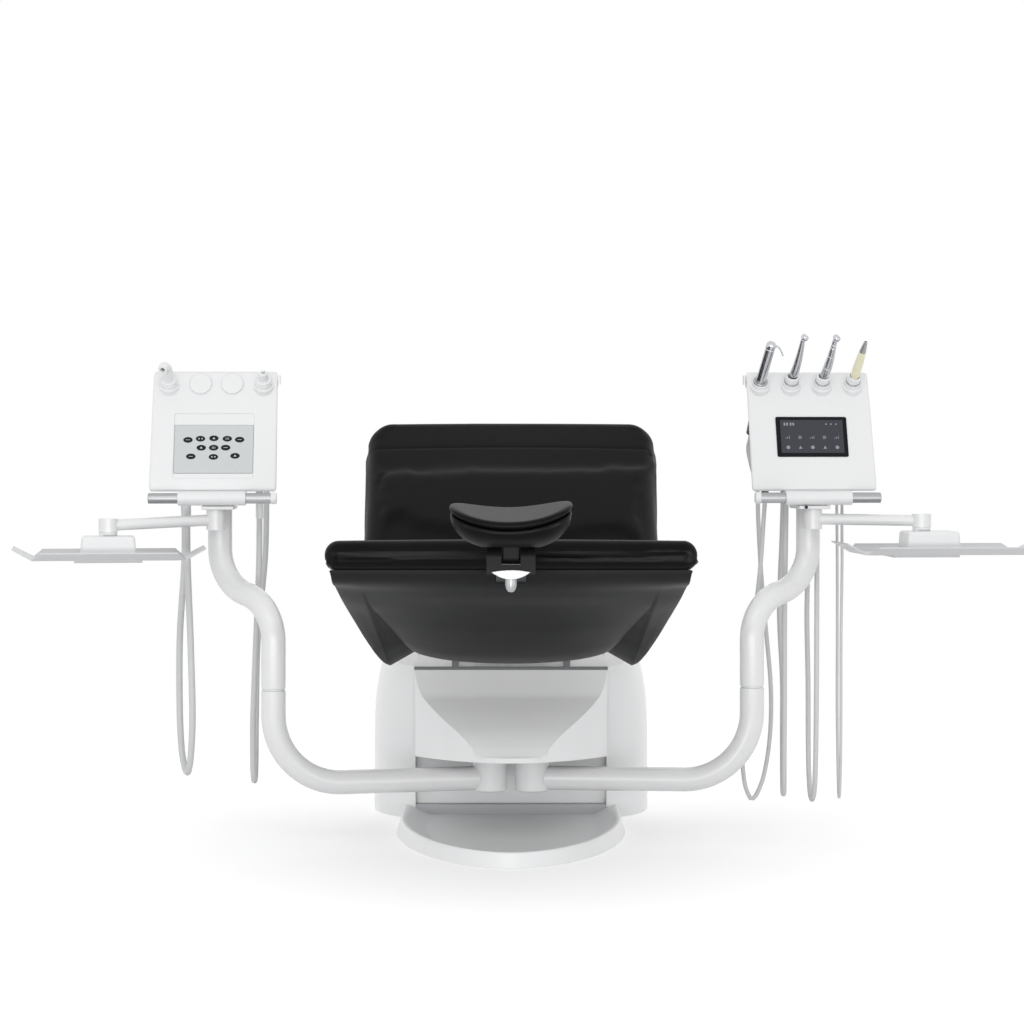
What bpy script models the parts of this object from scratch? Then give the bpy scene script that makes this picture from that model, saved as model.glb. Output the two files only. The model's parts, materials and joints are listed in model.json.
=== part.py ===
"""Dental treatment unit: a reclined patient chair on a low white base, with a
swing arm on each side that carries a console and an instrument tray.

Units are metres, +Z is up, the head end of the chair points to -Y.
The origin lies on the floor under the base, on the line of the two arm hubs.
"""
import math

import bmesh
import bpy
import numpy as np
from mathutils import Matrix, Vector

# Gaps and cuts
GAP = 0.0003
RUN_CLEARANCE = 0.001
CUT_OVERRUN = 0.02
ROUND_SIDES = 16
SMALL_SIDES = 12

# Base plate, a long low dish on the floor
PLATE_HALF_WIDTH = 0.236
PLATE_WIDEST_Y = 0.143
PLATE_FRONT_REACH = 0.530
PLATE_REAR_Y = 0.338
PLATE_HEIGHT = 0.030
PLATE_FLARE = 0.012
PLATE_RIM = 0.020
PLATE_BANK = 0.045
PLATE_FLOOR_THICKNESS = 0.009
PLATE_OUTLINE_POWER = 1.85
PLATE_OUTLINE_STEPS = 14

# Base frame and telescopic lift column
FRAME_REAR_Y = 0.800
FRAME_THICKNESS = 0.030
LIFT_HALF_WIDTH = 0.180
LIFT_FRONT_Y = 0.395
LIFT_DEPTH = 0.200
LIFT_TOP_Z = 0.340
LIFT_WALL = 0.016
LIFT_STAGE_RISE = 0.012
LIFT_HEAD_THICKNESS = 0.014

# Rear housing, a thin shell that is open below and between its cheeks
HOUSING_HALF_WIDTH = 0.302
HOUSING_FRONT_Y = 0.310
HOUSING_REAR_Y = 0.900
HOUSING_CORNER_POWER = 3.2
HOUSING_FRONT_TOP_Z = 0.318
HOUSING_REAR_TOP_Z = 0.372
HOUSING_TOP_INSET = 0.030
HOUSING_WALL = 0.008
HOUSING_SLOT_HALF_WIDTH = 0.204
HOUSING_SLOT_REAR_Y = 0.640
HOUSING_STEPS = 36

# Front block with its scooped apron
APRON_HALF_WIDTH = 0.197
APRON_FRONT_Y = -0.130
APRON_BULGE = 0.137
APRON_REAR_Y = 0.358
APRON_BOTTOM_Z = 0.170
APRON_TOP_Z = 0.350
APRON_WALL = 0.008
APRON_STEPS = 14
SCOOP_DEPTH = 0.137
SCOOP_DROP = 0.170
SCOOP_SHARES = ((0.0, 0.0), (0.06, 0.16), (0.16, 0.32), (0.30, 0.43), (0.52, 0.58), (0.74, 0.75),
                (0.92, 1.0))
POCKET_SHARES = ((0.78, 1.0), (0.78, 0.90), (0.42, 0.64), (0.16, 0.48), (-0.10, 0.36), (-0.10, 0.05))

# Bracket and pins that carry the two arms
BRACKET_HALF_WIDTH = 0.100
BRACKET_FRONT_Y = -0.042
BRACKET_THICKNESS = 0.020
PIN_RADIUS = 0.015
HUB_SPACING = 0.084
HUB_RADIUS = 0.0345
HUB_BOTTOM_Z = 0.101
HUB_HEIGHT = 0.103
RECESS_PANEL_THICKNESS = 0.008

# Buffers on the block that the lowered back rests over
BUFFER_SPACING = 0.226
BUFFER_WIDTH = 0.013
BUFFER_DEPTH = 0.040
BUFFER_Y = -0.005
BUFFER_HEIGHT = 0.022

# Chair back
BACK_HEAD_Y = -0.795
BACK_HEAD_Z = 0.641
BACK_HIP_Y = -0.125
BACK_HIP_Z = 0.535
BACK_HEAD_HALF_WIDTH = 0.330
BACK_HIP_HALF_WIDTH = 0.300
BACK_PAD_THICKNESS = 0.056
BACK_PAD_CORNER = 0.060
PAD_CROWN = 0.007
PAD_DRAW_IN = 0.006
PAD_SEAM_DEPTH = 0.004
BACK_SHELL_HEAD_Y = -0.778
BACK_SHELL_HIP_Y = -0.135
BACK_SHELL_SIDE_INSET = 0.012
WING_HALF_WIDTH = 0.312
WING_TOP_DROP = 0.018
WING_LOW_Z = 0.368
VALLEY_HALF_WIDTH = 0.264
BELLY_LOW_Z = 0.370
BELLY_HEAD_THICKNESS = 0.026
SHELL_STATION_SHARES = (0.0, 0.04, 0.16, 0.31, 0.45, 0.58, 0.71, 0.84, 0.94, 1.0)
WING_WIDTH_SHARES = (1.0, 0.998, 0.985, 0.952, 0.910, 0.868, 0.820, 0.778, 0.745, 0.731)
WING_DROP_SHARES = (0.0, 0.03, 0.13, 0.29, 0.42, 0.56, 0.71, 0.87, 0.965, 1.0)
VALLEY_WIDTH_SHARES = (0.96, 0.99, 1.0, 0.98, 0.94, 0.895, 0.84, 0.775, 0.715, 0.677)
VALLEY_RISE_SHARES = (0.36, 0.36, 0.33, 0.28, 0.30, 0.38, 0.62, 0.93, 1.0, 1.0)
VALLEY_RISE = 0.034
BELLY_DROP_SHARES = (0.0, 0.03, 0.12, 0.27, 0.44, 0.61, 0.77, 0.91, 0.98, 1.0)
BELLY_ARC_STEPS = 7

# Seat and leg rest
SEAT_HIP_Y = -0.085
SEAT_HIP_Z = 0.528
SEAT_KNEE_Y = 0.405
SEAT_KNEE_Z = 0.859
SEAT_HALF_WIDTH = 0.305
SEAT_KNEE_HALF_WIDTH = 0.313
SEAT_PAD_THICKNESS = 0.062
SEAT_PAD_CORNER = 0.075
SEAT_SHELL_DEPTH = 0.046
SEAT_SHELL_HALF_WIDTH = 0.268
SEAT_SHELL_END_INSET = 0.018
SEAT_SHELL_SHARES = ((0.0, 0.55), (0.15, 1.0), (0.5, 1.05), (0.85, 0.9), (1.0, 0.5))
LEG_KNEE_Y = 0.452
LEG_KNEE_Z = 0.851
LEG_FOOT_Y = 0.880
LEG_FOOT_Z = 0.765
LEG_HALF_WIDTH = 0.285
LEG_FOOT_HALF_WIDTH = 0.255
LEG_PAD_THICKNESS = 0.056
LEG_PAD_CORNER = 0.090
LEG_SHELL_DEPTH = 0.034
LEG_SHELL_HALF_WIDTH = 0.245
LEG_SHELL_KNEE_INSET = 0.030

# Axes of the chair
HIP_AXIS_Y = -0.104
HIP_AXIS_Z = 0.488
KNEE_AXIS_Y = 0.424
KNEE_AXIS_Z = 0.775
TILT_AXIS_Y = 0.495
TILT_AXIS_Z = 0.440
AXLE_RADIUS = 0.008
TILT_AXLE_RADIUS = 0.012
HIP_AXLE_HALF_LENGTH = 0.240
KNEE_AXLE_HALF_LENGTH = 0.225
TILT_AXLE_HALF_LENGTH = 0.135
LUG_THICKNESS = 0.012
LUG_RADIUS = 0.018
BACK_LUG_X = 0.205
BACK_LUG_REACH = 0.046
SEAT_LUG_X = 0.180
LEG_LUG_X = 0.190
LEG_LUG_REACH = 0.045
KNEE_LUG_X = 0.165
CARRIAGE_CHEEK_X = 0.110
SEAT_BEAM_HALF_WIDTH = 0.080
SEAT_BEAM_LENGTH = 0.250
SEAT_BEAM_END_SHARE = 0.80

# Headrest
HEAD_BAR_HALF_WIDTH = 0.026
HEAD_BAR_THICKNESS = 0.008
HEAD_BAR_INNER_Y = -0.560
HEAD_SLOT_INNER_Y = -0.500
CLEVIS_HALF_WIDTH = 0.041
CLEVIS_BEYOND_PAD = 0.055
CLEVIS_BAR_OVERLAP = 0.008
CLEVIS_AXIS_Z = 0.612
CLEVIS_LUG_RADIUS = 0.017
CLEVIS_BLOCK_HEIGHT = 0.024
TONGUE_HALF_WIDTH = 0.0135
TONGUE_SLOT_HALF_WIDTH = 0.0160
HEAD_PIN_RADIUS = 0.005
CRESCENT_HALF_WIDTH = 0.033
CRESCENT_HEIGHT = 0.016
CRESCENT_THICKNESS = 0.004
KNOB_RADIUS = 0.0098
KNOB_HEIGHT = 0.024
HEAD_PAD_HALF_WIDTH = 0.103
HEAD_PAD_DEPTH = 0.150
HEAD_PAD_FAR_Y = -0.915
HEAD_PAD_MIDDLE_Z = 0.684
HEAD_PAD_SADDLE = 0.0205
HEAD_PAD_SLOPE = 0.16
HEAD_PAD_THICKNESS = 0.0135
HEAD_SHELL_SEAM_RISE = 0.012
HEAD_SHELL_SEAM_SHARE = 0.966
HEAD_SHELL_BOTTOM_Z = 0.631
HEAD_SHELL_FOOT_SHARE = 0.52

# Swing arms
TUBE_RADIUS = 0.02415
ARM_REACH = 0.443
ARM_TUBE_Z = 0.127
ELBOW_RADIUS = 0.137
SEAM_Z = 0.313
SEAM_RING_HEIGHT = 0.003
SEAM_RING_INSET = 0.002
SPIGOT_RADIUS = 0.014
SPIGOT_LENGTH = 0.040
BEND_RADIUS = 0.0928
BEND_ANGLE = math.radians(76.0)
BEND_START_Z = 0.411
POST_TOP_Z = 0.668
ARM_STEPS = 7
ARM_TURN = {"left": math.radians(14.8), "right": math.radians(-6.0)}
UPPER_TURN = {"left": math.radians(-36.0), "right": math.radians(31.5)}
CONSOLE_TURN = {"left": math.radians(1.5), "right": math.radians(4.5)}
TRAY_ARM_TURN = {"left": math.radians(20.0), "right": math.radians(-10.0)}
TRAY_TURN = {"left": math.radians(8.0), "right": math.radians(5.0)}

# Consoles
CONSOLE_HALF_WIDTH = 0.127
CONSOLE_BOTTOM_Z = 0.706
CONSOLE_HEIGHT = 0.241
CONSOLE_DEPTH = 0.150
CONSOLE_FRONT_Y = -0.060
CONSOLE_EDGE = 0.007
CONSOLE_TOP_TAPER_SHARE = 0.99
CONSOLE_BACK_TAPER_SHARE = 0.80
FACE_LOW_SHARES = (0.030, 0.080)
FACE_MIDDLE_SHARES = (0.400, 0.700)
FACE_HIGH_SHARES = (0.590, 0.985)
CONSOLE_BACK_SHARES = ((0.640, 1.000), (0.840, 1.000), (0.960, 0.930), (1.000, 0.720),
                       (0.985, 0.400), (0.930, 0.100), (0.840, 0.000))
SWIVEL_HALF_WIDTH = 0.032
SWIVEL_FRONT = 0.078
SWIVEL_REAR = 0.036
SWIVEL_HEIGHT = 0.036
POST_SOCKET_DEPTH = 0.012
BAR_RADIUS = 0.0106
BAR_HALF_LENGTH = 0.126
BAR_Y = -0.078
BAR_Z = 0.693
CLAMP_HALF_WIDTH = 0.067
CLAMP_RADIUS = 0.0145
CLAMP_WEB = 0.016
BAR_SHIFT = {"left": 0.0, "right": 0.004}
CONSOLE_SHIFT = {"left": -0.0108, "right": 0.003}
PANEL_RECESS = 0.004
KEYPAD_WIDTH = 0.157
KEYPAD_HEIGHT = 0.102
KEYPAD_THICKNESS = 0.003
KEYPAD_CENTRE_SHARE = 0.44
DISPLAY_WIDTH = 0.144
DISPLAY_HEIGHT = 0.085
DISPLAY_THICKNESS = 0.006
DISPLAY_CENTRE_SHARE = 0.60
DISPLAY_OFFSET = {"left": 0.0, "right": 0.001}

# Holders, instruments and blank caps
HOLDER_PITCH = 0.0634
HOLDER_FIRST = {"left": -0.0930, "right": -0.0990}
HOLDER_FACE_SHARE = 0.63
HOLDER_LEAN = math.radians(42.0)
HOLDER_SIDE_LEAN = {"left": 0.0, "right": math.radians(1.5)}
HOLDER_BORE_RADIUS = 0.0113
BOSS_RADIUS = 0.0165
BOSS_HEIGHT = 0.011
TAIL_RADIUS = 0.0105
TAIL_LENGTH = 0.128
CAP_RADIUS = 0.0225
CAP_HEIGHT = 0.004
CAP_FACE_SHARE = 0.68

# Tray arm and trays
PIVOT_SIDE = {"left": 0.0048, "right": 0.0}
PIVOT_FRONT = 0.050
PIVOT_RADIUS = 0.0190
PIVOT_HEIGHT = 0.040
TRAY_ARM_RADIUS = 0.0112
TRAY_ARM_LENGTH = 0.217
TRAY_ARM_WALL = 0.0022
TRAY_ARM_DROP = {"left": 0.009, "right": 0.002}
NECK_RADIUS = 0.0190
NECK_HEIGHT = 0.007
BLOCK_HALF_WIDTH = 0.0550
BLOCK_HALF_DEPTH = 0.045
BLOCK_HEIGHT = 0.0425
BLOCK_TAPER_SHARE = 0.94
BLOCK_SHIFT = {"left": 0.0, "right": 0.016}
TRAY_HALF_WIDTH = {"left": 0.149, "right": 0.169}
TRAY_HALF_DEPTH = 0.092
TRAY_SHIFT = {"left": -0.002, "right": 0.041}
TRAY_FLANGE_RUN = 0.038
TRAY_FLANGE_DEPTH_RUN = 0.024
TRAY_FLANGE_RISE = 0.014
TRAY_END_RISE = 0.021
TRAY_THICKNESS = 0.0024
TRAY_CORNER_SHARE = 0.45
PLATE_UNDER_HALF_WIDTH = 0.066
PLATE_UNDER_HALF_DEPTH = 0.050
PLATE_UNDER_HEIGHT = 0.006

# Instruments, each a list of radius and length pairs above its holder
INSTRUMENT_FLANGE_RADIUS = 0.0150
INSTRUMENT_FLANGE_HEIGHT = 0.004
SYRINGE_PROFILE = ((0.0088, 0.000), (0.0092, 0.010), (0.0092, 0.090), (0.0070, 0.097))
SYRINGE_TIP = ((0.0, 0.092), (0.012, 0.098), (0.022, 0.091), (0.030, 0.078))
SYRINGE_TIP_RADIUS = 0.0022
TURBINE_PROFILE = ((0.0082, 0.000), (0.0088, 0.012), (0.0074, 0.050), (0.0056, 0.092), (0.0050, 0.108))
ANGLE_PROFILE = ((0.0088, 0.000), (0.0092, 0.040), (0.0076, 0.062), (0.0060, 0.088), (0.0052, 0.108))
DRILL_HEAD_RADIUS = 0.0064
DRILL_HEAD_HEIGHT = 0.0130
DRILL_HEAD_PLACE = 0.111
SCALER_PROFILE = ((0.0090, 0.000), (0.0094, 0.030), (0.0082, 0.066), (0.0052, 0.088), (0.0030, 0.104))
NOZZLE_PATH = ((0.0, 0.0, 0.0), (0.0, 0.0, 0.0120), (-0.0003, 0.0003, 0.0220),
               (-0.0012, 0.0020, 0.0310), (-0.0026, 0.0060, 0.0385), (-0.0042, 0.0115, 0.0440),
               (-0.0059, 0.0180, 0.0475), (-0.0075, 0.0262, 0.0484))
NOZZLE_RADIUS = 0.0102
NOZZLE_NECK_SHARE = 0.96
NOZZLE_BORE_RADIUS = 0.0047
EJECTOR_PROFILE = ((0.0095, 0.000), (0.0095, 0.014), (0.0085, 0.020))
EJECTOR_BORE_RADIUS = 0.0042
EJECTOR_BORE_DEPTH = 0.014

# Hoses: diameter and route of each, from the console's underside to the tail of its instrument
HOSE_SIDES_LEVEL = 2
HOSE_STEP_DIAMETERS = 2.5
HOSE_LEAST_STEP = 0.026
HOSE_ROUTES = {
    "suction_hose": (0.0135, (
        (-0.6562, 0.0170, 0.7057), (-0.6562, 0.0170, 0.6711), (-0.6553, 0.0180, 0.5621),
        (-0.6493, 0.0190, 0.4034), (-0.6456, 0.0210, 0.2546), (-0.6496, 0.0290, 0.1703),
        (-0.6565, 0.0480, 0.1366), (-0.6621, 0.0710, 0.1297), (-0.6694, 0.0940, 0.1366),
        (-0.6783, 0.1150, 0.1733), (-0.6833, 0.1240, 0.2546), (-0.6833, 0.1270, 0.4034),
        (-0.6740, 0.1290, 0.5621), (-0.6755, 0.1290, 0.6811), (-0.6875, 0.1210, 0.7505),
        (-0.6915, 0.1008, 0.7892), (-0.6910, 0.0839, 0.8079), (-0.6907, 0.0708, 0.8224))),
    "ejector_hose": (0.0120, (
        (-0.5093, 0.0170, 0.7057), (-0.5093, 0.0170, 0.6711), (-0.5104, 0.0180, 0.5621),
        (-0.5166, 0.0190, 0.4034), (-0.5226, 0.0210, 0.2447), (-0.5236, 0.0290, 0.1555),
        (-0.5236, 0.0480, 0.1203), (-0.5236, 0.0700, 0.1128), (-0.5246, 0.0930, 0.1203),
        (-0.5256, 0.1140, 0.1555), (-0.5256, 0.1230, 0.2447), (-0.5221, 0.1270, 0.4034),
        (-0.5078, 0.1290, 0.5621), (-0.5048, 0.1300, 0.6811), (-0.5045, 0.1310, 0.7505),
        (-0.5013, 0.1057, 0.7892), (-0.5008, 0.0888, 0.8079), (-0.5005, 0.0758, 0.8224))),
    "syringe_hose": (0.0090, (
        (0.5193, 0.0723, 0.7057), (0.5193, 0.0723, 0.6865), (0.5164, 0.0743, 0.6421),
        (0.5094, 0.0803, 0.5374), (0.4938, 0.0883, 0.4051), (0.4779, 0.0953, 0.2767),
        (0.4740, 0.1023, 0.1879), (0.4799, 0.1123, 0.1089), (0.4908, 0.1243, 0.0753),
        (0.4977, 0.1323, 0.0680), (0.5076, 0.1393, 0.0753), (0.5244, 0.1463, 0.1187),
        (0.5367, 0.1513, 0.1977), (0.5387, 0.1553, 0.2965), (0.5280, 0.1583, 0.4249),
        (0.5188, 0.1603, 0.5374), (0.5134, 0.1623, 0.6421), (0.5112, 0.1633, 0.7063),
        (0.4986, 0.1613, 0.7567), (0.4917, 0.1528, 0.7893), (0.4937, 0.1361, 0.8080),
        (0.4953, 0.1231, 0.8225))),
    "turbine_hose": (0.0110, (
        (0.5625, 0.0753, 0.7057), (0.5625, 0.0753, 0.6816), (0.5616, 0.0763, 0.6026),
        (0.5599, 0.0793, 0.4545), (0.5599, 0.0833, 0.3064), (0.5599, 0.0893, 0.1780),
        (0.5609, 0.1013, 0.1089), (0.5619, 0.1173, 0.0832), (0.5624, 0.1313, 0.0781),
        (0.5629, 0.1453, 0.0832), (0.5639, 0.1633, 0.1128), (0.5648, 0.1753, 0.1879),
        (0.5653, 0.1793, 0.3064), (0.5592, 0.1813, 0.4545), (0.5646, 0.1833, 0.6026),
        (0.5665, 0.1813, 0.7014), (0.5590, 0.1793, 0.7547), (0.5549, 0.1577, 0.7893),
        (0.5569, 0.1410, 0.8080), (0.5585, 0.1280, 0.8225))),
    "angle_hose": (0.0105, (
        (0.6264, 0.0783, 0.7057), (0.6264, 0.0783, 0.6856), (0.6264, 0.0803, 0.6026),
        (0.6264, 0.0833, 0.4545), (0.6261, 0.0863, 0.3064), (0.6251, 0.0923, 0.1582),
        (0.6241, 0.1043, 0.0940), (0.6221, 0.1183, 0.0713), (0.6211, 0.1303, 0.0666),
        (0.6201, 0.1423, 0.0713), (0.6192, 0.1583, 0.0940), (0.6182, 0.1713, 0.1582),
        (0.6182, 0.1773, 0.3064), (0.6162, 0.1803, 0.4545), (0.6208, 0.1833, 0.6026),
        (0.6219, 0.1833, 0.7014), (0.6195, 0.1813, 0.7567), (0.6182, 0.1627, 0.7893),
        (0.6202, 0.1460, 0.8080), (0.6218, 0.1330, 0.8225))),
    "scaler_hose": (0.0062, (
        (0.6779, 0.0823, 0.7057), (0.6779, 0.0823, 0.6915), (0.6788, 0.0903, 0.6569),
        (0.6806, 0.1053, 0.6026), (0.6814, 0.1123, 0.5434), (0.6799, 0.1153, 0.4051),
        (0.6799, 0.1173, 0.2570), (0.6799, 0.1223, 0.1484), (0.6794, 0.1313, 0.0921),
        (0.6794, 0.1413, 0.0728), (0.6794, 0.1503, 0.0691), (0.6799, 0.1593, 0.0728),
        (0.6804, 0.1713, 0.0921), (0.6804, 0.1813, 0.1484), (0.6799, 0.1873, 0.2570),
        (0.6805, 0.1893, 0.4051), (0.6806, 0.1903, 0.5434), (0.6798, 0.1903, 0.6421),
        (0.6790, 0.1873, 0.7112), (0.6806, 0.1853, 0.7586), (0.6814, 0.1677, 0.7893),
        (0.6834, 0.1510, 0.8080), (0.6850, 0.1380, 0.8225))),
}

FINISHES = {
    "white_shell": ((0.86, 0.87, 0.88, 1.0), 0.32, 0.0),
    "white_paint": ((0.88, 0.89, 0.90, 1.0), 0.22, 0.0),
    "white_plastic": ((0.84, 0.85, 0.86, 1.0), 0.40, 0.0),
    "black_leather": ((0.012, 0.012, 0.014, 1.0), 0.42, 0.0),
    "black_plastic": ((0.010, 0.010, 0.011, 1.0), 0.30, 0.0),
    "dark_steel": ((0.10, 0.10, 0.11, 1.0), 0.38, 0.9),
    "frame_steel": ((0.42, 0.43, 0.45, 1.0), 0.35, 0.9),
    "bright_steel": ((0.62, 0.62, 0.63, 1.0), 0.22, 1.0),
    "satin_metal": ((0.52, 0.53, 0.54, 1.0), 0.34, 0.9),
    "tray_metal": ((0.66, 0.67, 0.68, 1.0), 0.38, 0.6),
    "grey_rubber": ((0.42, 0.42, 0.42, 1.0), 0.60, 0.0),
    "grey_hose": ((0.60, 0.60, 0.59, 1.0), 0.50, 0.0),
    "grey_foil": ((0.62, 0.64, 0.66, 1.0), 0.45, 0.0),
    "display_glass": ((0.012, 0.013, 0.018, 1.0), 0.08, 0.0),
    "cream_plastic": ((0.80, 0.78, 0.62, 1.0), 0.38, 0.0),
}


def clear_scene():
    for item in list(bpy.data.objects):
        bpy.data.objects.remove(item, do_unlink=True)


def make_finish(name, piece_name):
    colour, roughness, metallic = FINISHES[name]
    finish = bpy.data.materials.new(piece_name + "_finish")
    finish.use_nodes = True
    shader = finish.node_tree.nodes["Principled BSDF"]
    shader.inputs["Base Color"].default_value = colour
    shader.inputs["Roughness"].default_value = roughness
    shader.inputs["Metallic"].default_value = metallic
    finish.diffuse_color = colour
    return finish


def make_empty(name, place, turn=0.0, parent=None):
    """An axis marker; turn is about +Z."""
    empty = bpy.data.objects.new(name, None)
    bpy.context.scene.collection.objects.link(empty)
    empty.location = place
    empty.rotation_euler = (0.0, 0.0, turn)
    empty.parent = parent
    return empty


def add_piece(name, vertices, faces, finish=None, parent=None, smooth=math.radians(32.0)):
    """One closed mesh object with its faces turned outwards."""
    mesh = bpy.data.meshes.new(name)
    mesh.from_pydata([tuple(map(float, v)) for v in vertices], [], [tuple(f) for f in faces])
    shape = bmesh.new()
    shape.from_mesh(mesh)
    bmesh.ops.recalc_face_normals(shape, faces=shape.faces)
    shape.to_mesh(mesh)
    shape.free()
    piece = bpy.data.objects.new(name, mesh)
    bpy.context.scene.collection.objects.link(piece)
    mesh.shade_smooth()
    mesh.set_sharp_from_angle(angle=smooth)
    if finish:
        mesh.materials.append(make_finish(finish, name))
    piece.parent = parent
    return piece


def loft(name, rings, finish=None, parent=None, closed=False):
    """Skin over rings of equal length; the ends are capped, or joined if closed."""
    count = len(rings[0])
    vertices = [point for ring in rings for point in ring]
    faces = []
    last = len(rings) if closed else len(rings) - 1
    for row in range(last):
        here = row * count
        there = ((row + 1) % len(rings)) * count
        for column in range(count):
            after = (column + 1) % count
            faces.append((here + column, here + after, there + after, there + column))
    if not closed:
        faces.append(tuple(range(count)))
        faces.append(tuple(range((len(rings) - 1) * count, len(rings) * count)))
    return add_piece(name, vertices, faces, finish, parent)


def disc_loft(name, rings, first, last, finish=None, parent=None):
    """Skin over rings between two pole points."""
    count = len(rings[0])
    vertices = [first] + [point for ring in rings for point in ring] + [last]
    end = len(vertices) - 1
    faces = []
    for column in range(count):
        after = (column + 1) % count
        faces.append((0, 1 + column, 1 + after))
        faces.append((end, end - count + after, end - count + column))
    for row in range(len(rings) - 1):
        here = 1 + row * count
        there = here + count
        for column in range(count):
            after = (column + 1) % count
            faces.append((here + column, there + column, there + after, here + after))
    return add_piece(name, vertices, faces, finish, parent)


def prism(name, outline, low, high, axis, finish=None, parent=None):
    """An outline carried straight along axis x, y or z from low to high."""
    def place(a, b, along):
        if axis == "x":
            return (along, a, b)
        if axis == "y":
            return (a, along, b)
        return (a, b, along)
    rings = [[place(a, b, along) for a, b in outline] for along in (low, high)]
    return loft(name, rings, finish, parent)


def box(name, x_span, y_span, z_span, finish=None, parent=None):
    outline = [(x_span[0], y_span[0]), (x_span[1], y_span[0]),
               (x_span[1], y_span[1]), (x_span[0], y_span[1])]
    return prism(name, outline, z_span[0], z_span[1], "z", finish, parent)


def circle(radius, sides=ROUND_SIDES, centre=(0.0, 0.0)):
    turns = [math.tau * step / sides for step in range(sides)]
    return [(centre[0] + radius * math.cos(t), centre[1] + radius * math.sin(t)) for t in turns]


def cylinder(name, radius, start, end, sides=ROUND_SIDES, finish=None, parent=None):
    return sweep(name, [start, end], radius, sides, finish, parent)


def turned(name, profile, sides=ROUND_SIDES, finish=None, parent=None, start=(0, 0, 0), axis=(0, 0, 1)):
    """Rings of radius and height pairs about an axis through start, capped at both ends."""
    turn = Vector((0, 0, 1)).rotation_difference(Vector(axis)).to_matrix()
    rings = []
    for radius, height in profile:
        rings.append([tuple(Vector(start) + turn @ Vector((x, y, height)))
                      for x, y in circle(radius, sides)])
    return loft(name, rings, finish, parent)


def ring_piece(name, inner, outer, low, high, sides=ROUND_SIDES, finish=None, parent=None):
    """A round sleeve about +Z."""
    rings = []
    for radius, height in ((inner, low), (outer, low), (outer, high), (inner, high)):
        rings.append([(x, y, height) for x, y in circle(radius, sides)])
    return loft(name, rings, finish, parent, closed=True)


def sweep(name, points, radius, sides=ROUND_SIDES, finish=None, parent=None):
    """A round bar along points; each ring stands square to the path."""
    path = [Vector(point) for point in points]
    radii = radius if isinstance(radius, (list, tuple)) else [radius] * len(path)
    tangents = []
    for index in range(len(path)):
        before = path[max(index - 1, 0)]
        after = path[min(index + 1, len(path) - 1)]
        tangents.append((after - before).normalized())
    side = tangents[0].orthogonal().normalized()
    rings = []
    for index, tangent in enumerate(tangents):
        side = (side - tangent * side.dot(tangent)).normalized()
        other = tangent.cross(side)
        rings.append([tuple(path[index] + side * x + other * y)
                      for x, y in circle(radii[index], sides)])
    return loft(name, rings, finish, parent)


def combine(piece, tool, operation):
    """Boolean of a hidden tool on a piece."""
    tool.hide_render = True
    tool.display_type = "WIRE"
    modifier = piece.modifiers.new(operation.lower(), "BOOLEAN")
    modifier.operation = operation
    modifier.solver = "EXACT"
    modifier.object = tool
    return piece


def round_edges(piece, width, segments=2, angle=math.radians(40.0)):
    modifier = piece.modifiers.new("edges", "BEVEL")
    modifier.width = width
    modifier.segments = segments
    modifier.limit_method = "ANGLE"
    modifier.angle_limit = angle
    modifier.miter_outer = "MITER_ARC"
    return piece


def blend(low, high, share):
    return low + (high - low) * share


# Base

def plate_outline(inset):
    """Half superellipse at the head end, straight sides to the rear."""
    width = PLATE_HALF_WIDTH - inset
    reach = PLATE_FRONT_REACH - inset
    points = [(width, PLATE_REAR_Y), (width, PLATE_WIDEST_Y)]
    for step in range(1, 2 * PLATE_OUTLINE_STEPS):
        turn = math.pi * step / (2 * PLATE_OUTLINE_STEPS)
        side = abs(math.cos(turn)) ** (2 / PLATE_OUTLINE_POWER)
        front = math.sin(turn) ** (2 / PLATE_OUTLINE_POWER)
        points.append((math.copysign(width * side, math.cos(turn)), PLATE_WIDEST_Y - reach * front))
    points += [(-width, PLATE_WIDEST_Y), (-width, PLATE_REAR_Y)]
    return points


def build_base_plate():
    rings = [[(x, y, 0.0) for x, y in plate_outline(0.0)],
             [(x, y, PLATE_HEIGHT) for x, y in plate_outline(PLATE_FLARE)]]
    plate = loft("base_plate", rings, "white_shell")
    low = plate_outline(PLATE_RIM + PLATE_BANK)
    high = plate_outline(PLATE_RIM)
    rear = PLATE_REAR_Y + CUT_OVERRUN
    def level(outline, height):
        return [(x, rear if y >= PLATE_REAR_Y else y, height) for x, y in outline]
    rings = [level(low, PLATE_FLOOR_THICKNESS), level(high, PLATE_HEIGHT),
             level(high, PLATE_HEIGHT + CUT_OVERRUN)]
    combine(plate, loft("plate_dish_cut", rings), "DIFFERENCE")


def build_base_frame():
    front = PLATE_REAR_Y + GAP
    half = HOUSING_SLOT_HALF_WIDTH - GAP
    box("base_frame", (-half, half), (front, FRAME_REAR_Y), (0.0, FRAME_THICKNESS), "frame_steel")


def lift_box(name, half_width, front, rear, low, high, finish):
    return box(name, (-half_width, half_width), (front, rear), (low, high), finish)


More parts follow.
